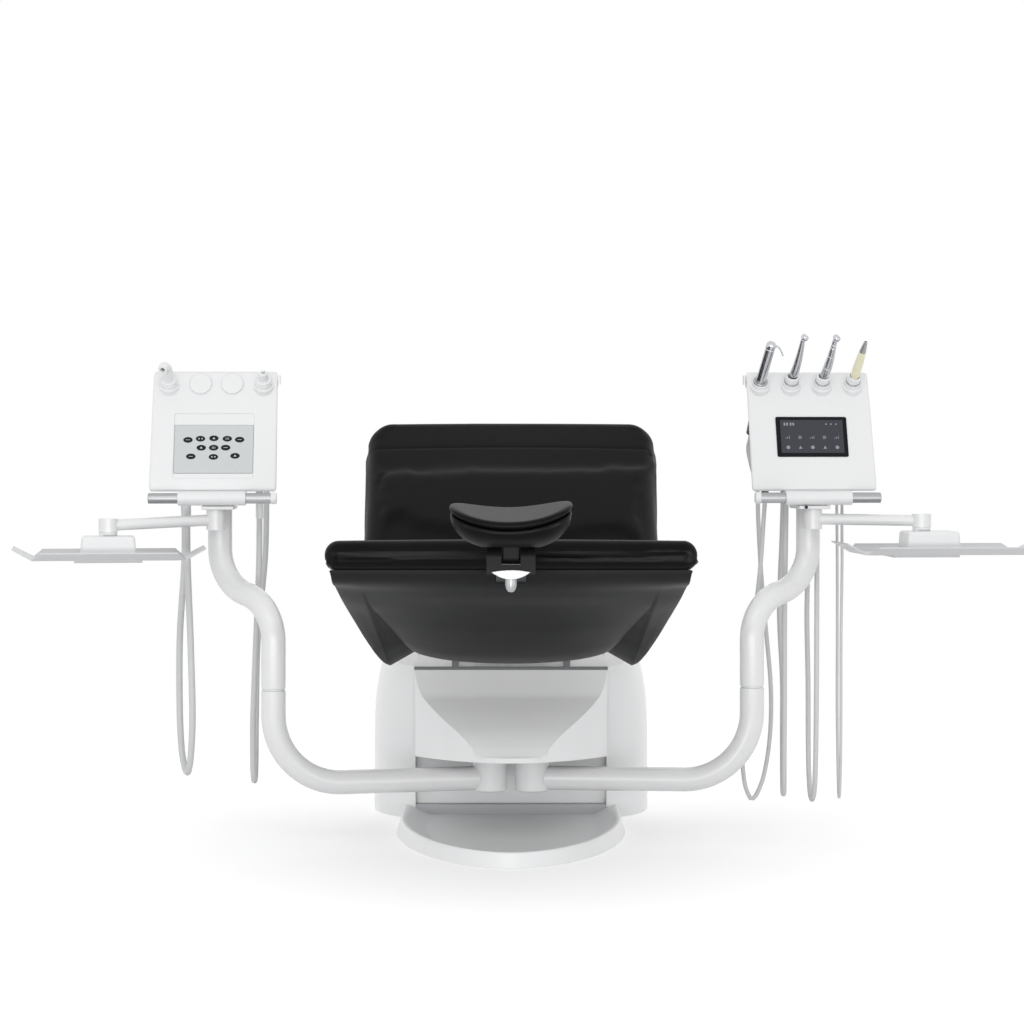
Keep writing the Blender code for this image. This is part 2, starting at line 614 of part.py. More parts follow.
def build_lift():
    """Three nested rectangular tubes; the two inner ones slide up."""
    half = LIFT_HALF_WIDTH
    front = LIFT_FRONT_Y
    rear = LIFT_FRONT_Y + LIFT_DEPTH
    low = FRAME_THICKNESS + GAP
    step = LIFT_WALL + RUN_CLEARANCE
    names = ("lift_tube_outer", "lift_tube_middle", "lift_tube_inner")
    for index, name in enumerate(names):
        inset = index * step
        top = LIFT_TOP_Z + index * LIFT_STAGE_RISE
        tube = lift_box(name, half - inset, front + inset, rear - inset, low + index * GAP, top,
                        "frame_steel")
        round_edges(tube, LIFT_WALL / 2, 2)
        if index < 2:
            wall = inset + LIFT_WALL
            bore = lift_box(name + "_bore", half - wall, front + wall, rear - wall,
                            low - CUT_OVERRUN, top + CUT_OVERRUN, None)
            combine(tube, bore, "DIFFERENCE")
    inset = 2 * step
    head_low = LIFT_TOP_Z + 2 * LIFT_STAGE_RISE
    head_high = head_low + LIFT_HEAD_THICKNESS
    head = tube
    plate = lift_box("head_plate", half - inset - LIFT_WALL, front + inset + LIFT_WALL / 2,
                     rear - inset - LIFT_WALL / 2, head_low - LIFT_HEAD_THICKNESS, head_high, None)
    combine(head, plate, "UNION")
    reach = TILT_AXLE_RADIUS + LUG_THICKNESS
    outline = [(TILT_AXIS_Y - 2 * reach, blend(head_low, head_high, 0.5)),
               (TILT_AXIS_Y + 2 * reach, blend(head_low, head_high, 0.5))]
    turns = [math.pi * step_index / 6 for step_index in range(7)]
    outline += [(TILT_AXIS_Y + reach * math.cos(t), TILT_AXIS_Z + reach * math.sin(t)) for t in turns]
    for sign in (-1, 1):
        inner = sign * CARRIAGE_CHEEK_X
        outer = sign * (CARRIAGE_CHEEK_X + LUG_THICKNESS)
        cheek = prism("head_cheek_%+d" % sign, outline, inner, outer, "x")
        combine(head, cheek, "UNION")
    bore = cylinder("head_bore", TILT_AXLE_RADIUS + RUN_CLEARANCE / 2,
                    (-LIFT_HALF_WIDTH, TILT_AXIS_Y, TILT_AXIS_Z),
                    (LIFT_HALF_WIDTH, TILT_AXIS_Y, TILT_AXIS_Z), SMALL_SIDES)
    combine(head, bore, "DIFFERENCE")


def housing_ring(height, width, front, rear, steps=HOUSING_STEPS):
    """Superellipse plan at one height; the height may follow the depth."""
    middle = (front + rear) / 2
    reach = (rear - front) / 2
    ring = []
    for step in range(steps):
        turn = math.tau * step / steps
        x = math.copysign(abs(math.cos(turn)) ** (2 / HOUSING_CORNER_POWER), math.cos(turn))
        y = math.copysign(abs(math.sin(turn)) ** (2 / HOUSING_CORNER_POWER), math.sin(turn))
        depth = middle + reach * y
        ring.append((width * x, depth, height(depth)))
    return ring


def housing_rings(inset, low):
    front = HOUSING_FRONT_Y + inset
    rear = HOUSING_REAR_Y - inset
    width = HOUSING_HALF_WIDTH - inset

    def top_height(depth):
        share = (depth - HOUSING_FRONT_Y) / (HOUSING_REAR_Y - HOUSING_FRONT_Y)
        return blend(HOUSING_FRONT_TOP_Z, HOUSING_REAR_TOP_Z, share) - inset

    stations = ((0.0, 0.0), (0.5, 0.02), (0.78, 0.22), (0.93, 0.60), (1.0, 1.0))
    rings = []
    for rise, draw in stations:
        shrink = HOUSING_TOP_INSET * draw
        rings.append(housing_ring(lambda depth: blend(low, top_height(depth), rise),
                                  width - shrink, front + shrink / 3, rear - shrink))
    return rings


def build_housing():
    housing = loft("rear_housing", housing_rings(0.0, 0.0), "white_shell")
    inside = loft("housing_inside", housing_rings(HOUSING_WALL, -CUT_OVERRUN))
    combine(housing, inside, "DIFFERENCE")
    slot = box("housing_slot", (-HOUSING_SLOT_HALF_WIDTH, HOUSING_SLOT_HALF_WIDTH),
               (HOUSING_FRONT_Y - CUT_OVERRUN, HOUSING_SLOT_REAR_Y),
               (-CUT_OVERRUN, HOUSING_REAR_TOP_Z + CUT_OVERRUN))
    combine(housing, slot, "DIFFERENCE")


def apron_outline(inset):
    half = APRON_HALF_WIDTH - inset
    outline = [(half, APRON_REAR_Y - inset)]
    for step in range(APRON_STEPS + 1):
        share = 1 - 2 * step / APRON_STEPS
        outline.append((half * share, APRON_FRONT_Y + inset + APRON_BULGE * share ** 2))
    outline.append((-half, APRON_REAR_Y - inset))
    return outline


def build_apron():
    """Block with a bulged front, cut by the scoop and hollowed from below."""
    apron = prism("front_apron", apron_outline(0.0), APRON_BOTTOM_Z, APRON_TOP_Z, "z", "white_shell")
    rear = APRON_FRONT_Y + SCOOP_DEPTH
    scoop = [(rear - SCOOP_DEPTH * a, APRON_TOP_Z - SCOOP_DROP * b) for a, b in SCOOP_SHARES]
    scoop.append((APRON_FRONT_Y - CUT_OVERRUN, APRON_TOP_Z - SCOOP_DROP))
    scoop.append((APRON_FRONT_Y - CUT_OVERRUN, APRON_TOP_Z + CUT_OVERRUN))
    scoop.append((rear, APRON_TOP_Z + CUT_OVERRUN))
    wide = APRON_HALF_WIDTH + CUT_OVERRUN
    combine(apron, prism("scoop_cut", scoop, -wide, wide, "x"), "DIFFERENCE")
    pocket = [(APRON_REAR_Y - APRON_WALL, APRON_BOTTOM_Z - CUT_OVERRUN),
              (APRON_REAR_Y - APRON_WALL, APRON_TOP_Z - APRON_WALL)]
    pocket += [(rear - SCOOP_DEPTH * a, APRON_TOP_Z - SCOOP_DROP * b)
               for a, b in reversed(POCKET_SHARES)]
    pocket.append((pocket[-1][0], APRON_BOTTOM_Z - CUT_OVERRUN))
    core = prism("pocket_cut", apron_outline(APRON_WALL), APRON_BOTTOM_Z - CUT_OVERRUN,
                 APRON_TOP_Z - APRON_WALL, "z")
    combine(core, prism("pocket_profile", pocket, -wide, wide, "x"), "INTERSECT")
    combine(apron, core, "DIFFERENCE")
    half = BRACKET_HALF_WIDTH + RUN_CLEARANCE
    top = HUB_BOTTOM_Z + HUB_HEIGHT + BRACKET_THICKNESS + RUN_CLEARANCE
    notch = box("bracket_notch", (-half, half), (APRON_REAR_Y - 2 * APRON_WALL, APRON_REAR_Y + CUT_OVERRUN),
                (APRON_BOTTOM_Z - CUT_OVERRUN, top))
    combine(apron, notch, "DIFFERENCE")


def build_bracket():
    top = HUB_BOTTOM_Z + HUB_HEIGHT + GAP
    bracket = box("arm_bracket", (-BRACKET_HALF_WIDTH, BRACKET_HALF_WIDTH),
                  (BRACKET_FRONT_Y, LIFT_FRONT_Y - GAP), (top, top + BRACKET_THICKNESS), "dark_steel")
    for sign in (-1, 1):
        x = sign * HUB_SPACING / 2
        pin = cylinder("bracket_pin_%+d" % sign, PIN_RADIUS, (x, 0, HUB_BOTTOM_Z),
                       (x, 0, top + BRACKET_THICKNESS / 2))
        combine(bracket, pin, "UNION")
    panel_low = FRAME_THICKNESS + GAP
    panel_front = APRON_REAR_Y
    half = HOUSING_SLOT_HALF_WIDTH - GAP
    box("recess_panel", (-half, half),
        (panel_front, panel_front + RECESS_PANEL_THICKNESS), (panel_low, top - GAP), "white_shell")


def build_buffers():
    low = APRON_TOP_Z + GAP
    for side, sign in (("left", -1), ("right", 1)):
        x = sign * BUFFER_SPACING / 2
        front = BUFFER_Y + SCOOP_DEPTH + APRON_FRONT_Y + GAP
        buffer = box("back_buffer_" + side, (x - BUFFER_WIDTH / 2, x + BUFFER_WIDTH / 2),
                     (front, front + BUFFER_DEPTH), (low, low + BUFFER_HEIGHT), "grey_rubber")
        round_edges(buffer, BUFFER_WIDTH / 6, 2)


# Chair

def pad_frame(start, end):
    """Unit vectors along and square to a cushion's top line, and its length."""
    along = Vector((0.0, end[0] - start[0], end[1] - start[1]))
    length = along.length
    along.normalize()
    normal = Vector((1.0, 0.0, 0.0)).cross(along)
    return along, normal, length


def pad_point(start, end, share, below):
    """A point on a cushion's middle line, below its top by a square distance."""
    along, normal, length = pad_frame(start, end)
    return Vector((0.0, start[0], start[1])) + along * length * share - normal * below


def pad(name, start, end, half_widths, thickness, corner, seams=(), parent=None):
    """A cushion with rolled ends, crowned top, drawn-in sides and sewn seams across."""
    along, normal, length = pad_frame(start, end)
    edge = thickness / 2
    ends = [edge * (1 - math.cos(math.radians(t))) for t in (14, 38, 64, 90)]
    ends += [corner * (1 - math.cos(math.radians(t))) for t in (52, 70, 90)]
    seam_width = PAD_SEAM_DEPTH * 2
    places = sorted(set(round(e, 5) for e in ends))
    places += [length * share for share in (0.22, 0.36, 0.5, 0.64, 0.78)]
    places += [length - e for e in reversed(places[:len(set(round(e, 5) for e in ends))])]
    for seam in seams:
        places += [length * seam - seam_width, length * seam, length * seam + seam_width]
    places = sorted(places)
    rings = []
    for place in places:
        near = min(place, length - place)
        swell = math.sin(math.pi * place / length)
        roll = math.sqrt(max(0.0, 1 - (1 - min(near / edge, 1)) ** 2))
        round_off = corner - math.sqrt(max(0.0, corner ** 2 - max(corner - near, 0) ** 2))
        width = blend(half_widths[0], half_widths[1], place / length)
        width -= round_off + PAD_DRAW_IN * swell
        half = edge * roll
        on_seam = any(abs(place - length * seam) < seam_width / 2 for seam in seams)
        crown = PAD_CROWN * math.sqrt(swell) - (PAD_SEAM_DEPTH + PAD_CROWN if on_seam else 0.0)
        flat = width - half
        section = []
        for share in (-1, -0.66, -0.33, 0, 0.33, 0.66, 1):
            section.append((flat * share, half + crown * (1 - share ** 2)))
        for t in (60, 25, -25, -60):
            section.append((flat + half * math.cos(math.radians(t)), half * math.sin(math.radians(t))))
        for share in (1, 0, -1):
            section.append((flat * share, -half))
        for t in (-60, -25, 25, 60):
            section.append((-flat - half * math.cos(math.radians(t)), half * math.sin(math.radians(t))))
        middle = Vector((0.0, start[0], start[1])) + along * place - normal * edge
        rings.append([tuple(middle + Vector((x, 0.0, 0.0)) + normal * v) for x, v in section])
    return loft(name, rings, "black_leather", parent)


BACK_START = (BACK_HEAD_Y, BACK_HEAD_Z)
BACK_END = (BACK_HIP_Y, BACK_HIP_Z)
SEAT_START = (SEAT_HIP_Y, SEAT_HIP_Z)
SEAT_END = (SEAT_KNEE_Y, SEAT_KNEE_Z)
LEG_START = (LEG_KNEE_Y, LEG_KNEE_Z)
LEG_END = (LEG_FOOT_Y, LEG_FOOT_Z)


def underside(start, end, thickness, depth_y):
    """Height of a cushion's flat underside at one depth."""
    slope = (end[1] - start[1]) / (end[0] - start[0])
    drop = (thickness + GAP) * math.sqrt(1 + slope ** 2)
    return start[1] + (depth_y - start[0]) * slope - drop


def back_shell_rings():
    rings = []
    head_z = underside(BACK_START, BACK_END, BACK_PAD_THICKNESS, BACK_SHELL_HEAD_Y)
    wing_start = head_z - WING_TOP_DROP
    belly_start = head_z - BELLY_HEAD_THICKNESS
    for index, share in enumerate(SHELL_STATION_SHARES):
        y = blend(BACK_SHELL_HEAD_Y, BACK_SHELL_HIP_Y, share)
        top = underside(BACK_START, BACK_END, BACK_PAD_THICKNESS, y)
        top_width = blend(BACK_HEAD_HALF_WIDTH, BACK_HIP_HALF_WIDTH, share) - BACK_SHELL_SIDE_INSET
        wing = WING_HALF_WIDTH * WING_WIDTH_SHARES[index]
        wing_z = blend(wing_start, WING_LOW_Z, WING_DROP_SHARES[index])
        valley = VALLEY_HALF_WIDTH * VALLEY_WIDTH_SHARES[index]
        valley_z = wing_z + VALLEY_RISE * VALLEY_RISE_SHARES[index]
        belly_z = blend(belly_start, BELLY_LOW_Z, BELLY_DROP_SHARES[index])
        top_width = min(top_width, wing + BACK_SHELL_SIDE_INSET * (1 + 6 * share))
        ring = [(-top_width, y, top), (0.0, y, top), (top_width, y, top), (wing, y, wing_z)]
        for step in range(BELLY_ARC_STEPS + 1):
            turn = math.pi * step / BELLY_ARC_STEPS
            ring.append((valley * math.cos(turn), y, valley_z - (valley_z - belly_z) * math.sin(turn)))
        ring.append((-wing, y, wing_z))
        rings.append(ring)
    return rings


def lug(name, x, width, centre, toward, radius):
    """A flat lug with a round end about an axis along X, reaching toward a point."""
    away = Vector((toward[0] - centre[0], toward[1] - centre[1]))
    length = away.length
    heading = math.atan2(away.y, away.x)
    outline = []
    for step in range(9):
        t = heading + math.pi / 2 + math.pi * step / 8
        outline.append((centre[0] + radius * math.cos(t), centre[1] + radius * math.sin(t)))
    for t in (heading - math.pi / 2, heading + math.pi / 2):
        outline.append((centre[0] + away.x + radius * math.cos(t),
                        centre[1] + away.y + radius * math.sin(t)))
    return prism(name, outline, x - width / 2, x + width / 2, "x")


def add_lugs(piece, places, centre, toward, radius, bore, width=LUG_THICKNESS):
    """Fuse a pair of lugs to a piece and bore them for an axle."""
    for index, x in enumerate(places):
        shape = lug("%s_lug_%d" % (piece.name, index), x, width, centre, toward, radius)
        combine(piece, shape, "UNION")
    reach = max(abs(x) for x in places) + width
    hole = cylinder(piece.name + "_axle_bore", bore, (-reach, centre[0], centre[1]),
                    (reach, centre[0], centre[1]), SMALL_SIDES)
    combine(piece, hole, "DIFFERENCE")


def build_back():
    pad("back_cushion", BACK_START, BACK_END, (BACK_HEAD_HALF_WIDTH, BACK_HIP_HALF_WIDTH),
        BACK_PAD_THICKNESS, BACK_PAD_CORNER)
    shell = loft("back_shell", back_shell_rings(), "black_plastic")
    hip = (HIP_AXIS_Y, HIP_AXIS_Z)
    inward = (HIP_AXIS_Y - BACK_LUG_REACH, HIP_AXIS_Z - BACK_LUG_REACH)
    add_lugs(shell, (-BACK_LUG_X, BACK_LUG_X), hip, inward, LUG_RADIUS, AXLE_RADIUS + RUN_CLEARANCE / 2)
    below = BACK_PAD_THICKNESS + GAP + HEAD_BAR_THICKNESS + RUN_CLEARANCE
    slot = back_box("head_slot", HEAD_BAR_HALF_WIDTH + RUN_CLEARANCE, BACK_HEAD_Y - CUT_OVERRUN,
                    HEAD_SLOT_INNER_Y, below - HEAD_BAR_THICKNESS / 2 - RUN_CLEARANCE,
                    below + HEAD_BAR_THICKNESS / 2 + RUN_CLEARANCE + HEAD_BAR_THICKNESS / 2)
    combine(shell, slot, "DIFFERENCE")


def back_box(name, half_width, front_y, rear_y, below_top, below_bottom, finish=None):
    """A flat bar parallel to the back, placed by its distance below the cushion's top."""
    along, normal, length = pad_frame(BACK_START, BACK_END)
    corners = []
    for y in (front_y, rear_y):
        share = (y - BACK_START[0]) / (BACK_END[0] - BACK_START[0])
        low = pad_point(BACK_START, BACK_END, share, below_bottom)
        high = pad_point(BACK_START, BACK_END, share, below_top)
        corners.append([(-half_width, low.y, low.z), (half_width, low.y, low.z),
                        (half_width, high.y, high.z), (-half_width, high.y, high.z)])
    return loft(name, corners, finish)


def shell_ring(y, top, width, depth, low_share):
    """Section of a shallow tray-shaped underside."""
    return [(-width, y, top), (width, y, top), (width, y, top - depth * 0.30),
            (width * low_share, y, top - depth), (-width * low_share, y, top - depth),
            (-width, y, top - depth * 0.30)]


def build_seat():
    pad("seat_cushion", SEAT_START, SEAT_END, (SEAT_HALF_WIDTH, SEAT_KNEE_HALF_WIDTH),
        SEAT_PAD_THICKNESS, SEAT_PAD_CORNER, seams=(0.80,))
    rings = []
    first = SEAT_HIP_Y + SEAT_SHELL_END_INSET
    last = SEAT_KNEE_Y - 2 * SEAT_SHELL_END_INSET
    for share, depth_share in SEAT_SHELL_SHARES:
        y = blend(first, last, share)
        top = underside(SEAT_START, SEAT_END, SEAT_PAD_THICKNESS, y)
        rings.append(shell_ring(y, top, SEAT_SHELL_HALF_WIDTH, SEAT_SHELL_DEPTH * depth_share, 0.8))
    shell = loft("seat_shell", rings, "black_plastic")
    hip = (HIP_AXIS_Y, HIP_AXIS_Z)
    inward = (first + LUG_RADIUS, underside(SEAT_START, SEAT_END, SEAT_PAD_THICKNESS, first)
              - SEAT_SHELL_DEPTH / 4)
    add_lugs(shell, (-SEAT_LUG_X, SEAT_LUG_X), hip, inward, LUG_RADIUS * 0.8, AXLE_RADIUS + GAP)
    knee = (KNEE_AXIS_Y, KNEE_AXIS_Z)
    inward = (last - LUG_RADIUS, underside(SEAT_START, SEAT_END, SEAT_PAD_THICKNESS, last - LUG_RADIUS)
              - SEAT_SHELL_DEPTH / 2)
    add_lugs(shell, (-KNEE_LUG_X, KNEE_LUG_X), knee, inward, LUG_RADIUS * 0.8, AXLE_RADIUS + GAP)
    cylinder("hip_axle", AXLE_RADIUS, (-HIP_AXLE_HALF_LENGTH, HIP_AXIS_Y, HIP_AXIS_Z),
             (HIP_AXLE_HALF_LENGTH, HIP_AXIS_Y, HIP_AXIS_Z), SMALL_SIDES, "bright_steel")
    cylinder("knee_axle", AXLE_RADIUS, (-KNEE_AXLE_HALF_LENGTH, KNEE_AXIS_Y, KNEE_AXIS_Z),
             (KNEE_AXLE_HALF_LENGTH, KNEE_AXIS_Y, KNEE_AXIS_Z), SMALL_SIDES, "bright_steel")


def build_seat_frame():
    """Beam under the seat shell with two cheeks on the tilt axle."""
    along, normal, length = pad_frame(SEAT_START, SEAT_END)
    deepest = max(share for place, share in SEAT_SHELL_SHARES)
    below = SEAT_PAD_THICKNESS + 2 * GAP + SEAT_SHELL_DEPTH * deepest * along.y
    top_high = pad_point(SEAT_START, SEAT_END, SEAT_BEAM_END_SHARE, below)
    top_low = pad_point(SEAT_START, SEAT_END, SEAT_BEAM_END_SHARE - SEAT_BEAM_LENGTH / length, below)
    reach = TILT_AXLE_RADIUS + LUG_THICKNESS
    turns = [math.radians(t) for t in (-170, -130, -90, -50, -10)]
    outline = [(TILT_AXIS_Y + reach * math.cos(t), TILT_AXIS_Z + reach * math.sin(t)) for t in turns]
    outline += [(top_high.y, top_high.z), (top_low.y, top_low.z)]
    half = SEAT_BEAM_HALF_WIDTH
    frame = prism("seat_frame", outline, -half, half, "x", "dark_steel")
    axle = cylinder("tilt_axle", TILT_AXLE_RADIUS, (-TILT_AXLE_HALF_LENGTH, TILT_AXIS_Y, TILT_AXIS_Z),
                    (TILT_AXLE_HALF_LENGTH, TILT_AXIS_Y, TILT_AXIS_Z), SMALL_SIDES)
    combine(frame, axle, "UNION")


def build_leg_rest():
    pad("leg_cushion", LEG_START, LEG_END, (LEG_HALF_WIDTH, LEG_FOOT_HALF_WIDTH),
        LEG_PAD_THICKNESS, LEG_PAD_CORNER)
    rings = []
    first = LEG_KNEE_Y + LEG_SHELL_KNEE_INSET / 2
    last = LEG_FOOT_Y - LEG_SHELL_KNEE_INSET
    for share, depth_share in ((0.0, 0.5), (0.15, 0.9), (0.5, 1.0), (0.85, 0.8), (1.0, 0.4)):
        y = blend(first, last, share)
        top = underside(LEG_START, LEG_END, LEG_PAD_THICKNESS, y)
        width = LEG_SHELL_HALF_WIDTH * blend(1.0, LEG_FOOT_HALF_WIDTH / LEG_HALF_WIDTH, share)
        rings.append(shell_ring(y, top, width, LEG_SHELL_DEPTH * depth_share, 0.8))
    shell = loft("leg_shell", rings, "black_plastic")
    reach = first + LEG_LUG_REACH
    inward = (reach, underside(LEG_START, LEG_END, LEG_PAD_THICKNESS, reach) - LUG_RADIUS)
    add_lugs(shell, (-LEG_LUG_X, LEG_LUG_X), (KNEE_AXIS_Y, KNEE_AXIS_Z), inward, LUG_RADIUS * 0.75,
             AXLE_RADIUS + RUN_CLEARANCE / 2)


# Headrest

HEAD_MIDDLE_Y = HEAD_PAD_FAR_Y - HEAD_PAD_DEPTH / 2
CLEVIS_AXIS_Y = HEAD_PAD_FAR_Y - CLEVIS_BEYOND_PAD


def saddle_ring(scale, drop, steps=24, power=2.5):
    """Superellipse ring on the saddle-shaped head surface."""
    ring = []
    for step in range(steps):
        turn = math.tau * step / steps
        x = math.copysign(abs(math.cos(turn)) ** (2 / power), math.cos(turn))
        y = math.copysign(abs(math.sin(turn)) ** (2 / power), math.sin(turn))
        x *= HEAD_PAD_HALF_WIDTH * scale
        y *= HEAD_PAD_DEPTH / 2 * scale
        rise = HEAD_PAD_SADDLE * (x / HEAD_PAD_HALF_WIDTH) ** 2 + HEAD_PAD_SLOPE * y
        ring.append((x, HEAD_MIDDLE_Y + y, HEAD_PAD_MIDDLE_Z + rise - drop))
    return ring


def build_headrest():
    thick = HEAD_PAD_THICKNESS
    stations = ((0.35, 0.0), (0.65, 0.0), (0.84, 0.04), (0.95, 0.16), (1.0, 0.50), (0.96, 0.86),
                (0.88, 1.0), (0.45, 1.0))
    rings = [saddle_ring(scale, thick * share) for scale, share in stations]
    top = (0.0, HEAD_MIDDLE_Y, HEAD_PAD_MIDDLE_Z)
    disc_loft("headrest_pad", rings, top, (0.0, HEAD_MIDDLE_Y, HEAD_PAD_MIDDLE_Z - thick), "black_leather")
    seam = thick + RUN_CLEARANCE
    rings = [saddle_ring(scale, seam) for scale in (0.45, 0.88)]
    rings.append(saddle_ring(HEAD_SHELL_SEAM_SHARE, seam + HEAD_SHELL_SEAM_RISE / 4))
    for share in (0.35, 0.75, 1.0):
        scale = math.sqrt(blend(HEAD_SHELL_SEAM_SHARE ** 2, HEAD_SHELL_FOOT_SHARE ** 2, share ** 2))
        ring = saddle_ring(scale, seam + HEAD_SHELL_SEAM_RISE / 4)
        rings.append([(x, y, blend(z, HEAD_SHELL_BOTTOM_Z, share)) for x, y, z in ring])
    foot = saddle_ring(HEAD_SHELL_FOOT_SHARE / 2, seam)
    rings.append([(x, y, HEAD_SHELL_BOTTOM_Z) for x, y, z in foot])
    top = (0.0, HEAD_MIDDLE_Y, HEAD_PAD_MIDDLE_Z - seam)
    shell = disc_loft("headrest_shell", rings, top, (0.0, HEAD_MIDDLE_Y, HEAD_SHELL_BOTTOM_Z),
                      "black_plastic")
    axis = (CLEVIS_AXIS_Y, CLEVIS_AXIS_Z)
    tongue = lug("head_tongue", 0.0, 2 * TONGUE_HALF_WIDTH, axis,
                 (CLEVIS_AXIS_Y, HEAD_SHELL_BOTTOM_Z + HEAD_SHELL_SEAM_RISE / 2), CLEVIS_LUG_RADIUS * 0.6)
    combine(shell, tongue, "UNION")
    reach = CLEVIS_HALF_WIDTH + CUT_OVERRUN
    hole = cylinder("tongue_bore", HEAD_PIN_RADIUS + GAP, (-reach, *axis), (reach, *axis), SMALL_SIDES)
    combine(shell, hole, "DIFFERENCE")


def build_headrest_bar():
    """Flat bar from the back, ending in a clevis."""
    below = BACK_PAD_THICKNESS + GAP + HEAD_BAR_THICKNESS + RUN_CLEARANCE
    bar = back_box("headrest_bar", HEAD_BAR_HALF_WIDTH, CLEVIS_AXIS_Y + CLEVIS_BAR_OVERLAP, HEAD_BAR_INNER_Y,
                   below, below + HEAD_BAR_THICKNESS, "dark_steel")
    low = CLEVIS_AXIS_Z - CLEVIS_LUG_RADIUS - CLEVIS_BLOCK_HEIGHT / 2
    reach = CLEVIS_LUG_RADIUS
    turns = [math.pi * step / 8 for step in range(9)]
    outline = [(CLEVIS_AXIS_Y - reach, low), (CLEVIS_AXIS_Y + reach, low)]
    outline += [(CLEVIS_AXIS_Y + reach * math.cos(t), CLEVIS_AXIS_Z + reach * math.sin(t)) for t in turns]
    clevis = prism("clevis_shape", outline, -CLEVIS_HALF_WIDTH, CLEVIS_HALF_WIDTH, "x")
    combine(bar, clevis, "UNION")
    slot = box("clevis_slot", (-TONGUE_SLOT_HALF_WIDTH, TONGUE_SLOT_HALF_WIDTH),
               (CLEVIS_AXIS_Y - 2 * reach, CLEVIS_AXIS_Y + 2 * reach),
               (CLEVIS_AXIS_Z - reach * 0.75, CLEVIS_AXIS_Z + 2 * reach))
    combine(bar, slot, "DIFFERENCE")
    pin_end = TONGUE_SLOT_HALF_WIDTH + GAP
    pin = cylinder("clevis_pin", HEAD_PIN_RADIUS, (-pin_end, CLEVIS_AXIS_Y, CLEVIS_AXIS_Z),
                   (pin_end, CLEVIS_AXIS_Y, CLEVIS_AXIS_Z), SMALL_SIDES)
    combine(bar, pin, "UNION")
    front = CLEVIS_AXIS_Y - reach - GAP
    middle = low + CRESCENT_HEIGHT / 2
    outline = []
    for step in range(13):
        share = 1 - 2 * step / 12
        outline.append((CRESCENT_HALF_WIDTH * share, middle + CRESCENT_HEIGHT * (0.5 - 0.22 * share ** 2)))
    for step in range(1, 12):
        share = -1 + 2 * step / 12
        outline.append((CRESCENT_HALF_WIDTH * share,
                        middle + CRESCENT_HEIGHT * (0.28 - 0.78 * (1 - share ** 2))))
    prism("headrest_crescent", outline, front - CRESCENT_THICKNESS, front, "y", "satin_metal")
    profile = ((0.60, 0.0), (1.0, 0.03), (1.0, 0.45), (0.80, 0.78), (0.45, 0.97), (0.15, 1.0))
    turned("headrest_knob", [(KNOB_RADIUS * r, -KNOB_HEIGHT * h) for r, h in profile],
           SMALL_SIDES, "satin_metal", None, (0.0, CLEVIS_AXIS_Y - reach + KNOB_RADIUS, low - GAP))


# Swing arms

def build_arm(side, sign):
    """Lower tube with its hub, spacer ring, and the S-bent upper tube; returns the post's empty."""
    hub = make_empty("hub_axis_" + side, (sign * HUB_SPACING / 2, 0.0, 0.0), ARM_TURN[side])
    points = [(sign * (PIN_RADIUS + HUB_RADIUS) * 0.46, 0.0, ARM_TUBE_Z)]
    for step in range(ARM_STEPS + 1):
        turn = math.pi / 2 * step / ARM_STEPS
        points.append((sign * (ARM_REACH - ELBOW_RADIUS * (1 - math.sin(turn))), 0.0,
                       ARM_TUBE_Z + ELBOW_RADIUS * (1 - math.cos(turn))))
    points.append((sign * ARM_REACH, 0.0, SEAM_Z))
    lower = sweep("lower_arm_" + side, points, TUBE_RADIUS, ROUND_SIDES, "white_paint", hub)
    sleeve = ring_piece("hub_sleeve_" + side, PIN_RADIUS + RUN_CLEARANCE / 2, HUB_RADIUS,
                        HUB_BOTTOM_Z, HUB_BOTTOM_Z + HUB_HEIGHT, ROUND_SIDES, None, hub)
    combine(lower, sleeve, "UNION")
    bore = cylinder("spigot_bore_" + side, SPIGOT_RADIUS + GAP,
                    (sign * ARM_REACH, 0.0, SEAM_Z - SPIGOT_LENGTH - GAP),
                    (sign * ARM_REACH, 0.0, SEAM_Z + CUT_OVERRUN), ROUND_SIDES, None, hub)
    combine(lower, bore, "DIFFERENCE")

    seam = make_empty("seam_axis_" + side, (sign * ARM_REACH, 0.0, 0.0),
                      UPPER_TURN[side] - ARM_TURN[side], hub)
    start = SEAM_Z + SEAM_RING_HEIGHT
    points = [(0.0, 0.0, start)]
    for step in range(ARM_STEPS + 1):
        turn = BEND_ANGLE * step / ARM_STEPS
        points.append((sign * BEND_RADIUS * (1 - math.cos(turn)), 0.0,
                       BEND_START_Z + BEND_RADIUS * math.sin(turn)))
    width = 2 * BEND_RADIUS * (1 - math.cos(BEND_ANGLE))
    rise = 2 * BEND_RADIUS * math.sin(BEND_ANGLE)
    for step in range(1, ARM_STEPS + 1):
        turn = BEND_ANGLE * (1 - step / ARM_STEPS)
        points.append((sign * (width - BEND_RADIUS * (1 - math.cos(turn))), 0.0,
                       BEND_START_Z + rise - BEND_RADIUS * math.sin(turn)))
    points.append((sign * width, 0.0, POST_TOP_Z + POST_SOCKET_DEPTH - GAP))
    upper = sweep("upper_arm_" + side, points, TUBE_RADIUS, ROUND_SIDES, "white_paint", seam)
    spigot = cylinder("spigot_" + side, SPIGOT_RADIUS, (0.0, 0.0, SEAM_Z - SPIGOT_LENGTH + GAP),
                      (0.0, 0.0, start + SPIGOT_LENGTH), ROUND_SIDES, None, seam)
    combine(upper, spigot, "UNION")
    collar = cylinder("collar_" + side, TUBE_RADIUS - SEAM_RING_INSET, (0.0, 0.0, SEAM_Z + GAP),
                      (0.0, 0.0, start + SEAM_RING_HEIGHT), ROUND_SIDES, None, seam)
    combine(upper, collar, "UNION")
    return make_empty("post_axis_" + side, (sign * width, 0.0, 0.0),
                      CONSOLE_TURN[side] - UPPER_TURN[side], seam)


# Consoles

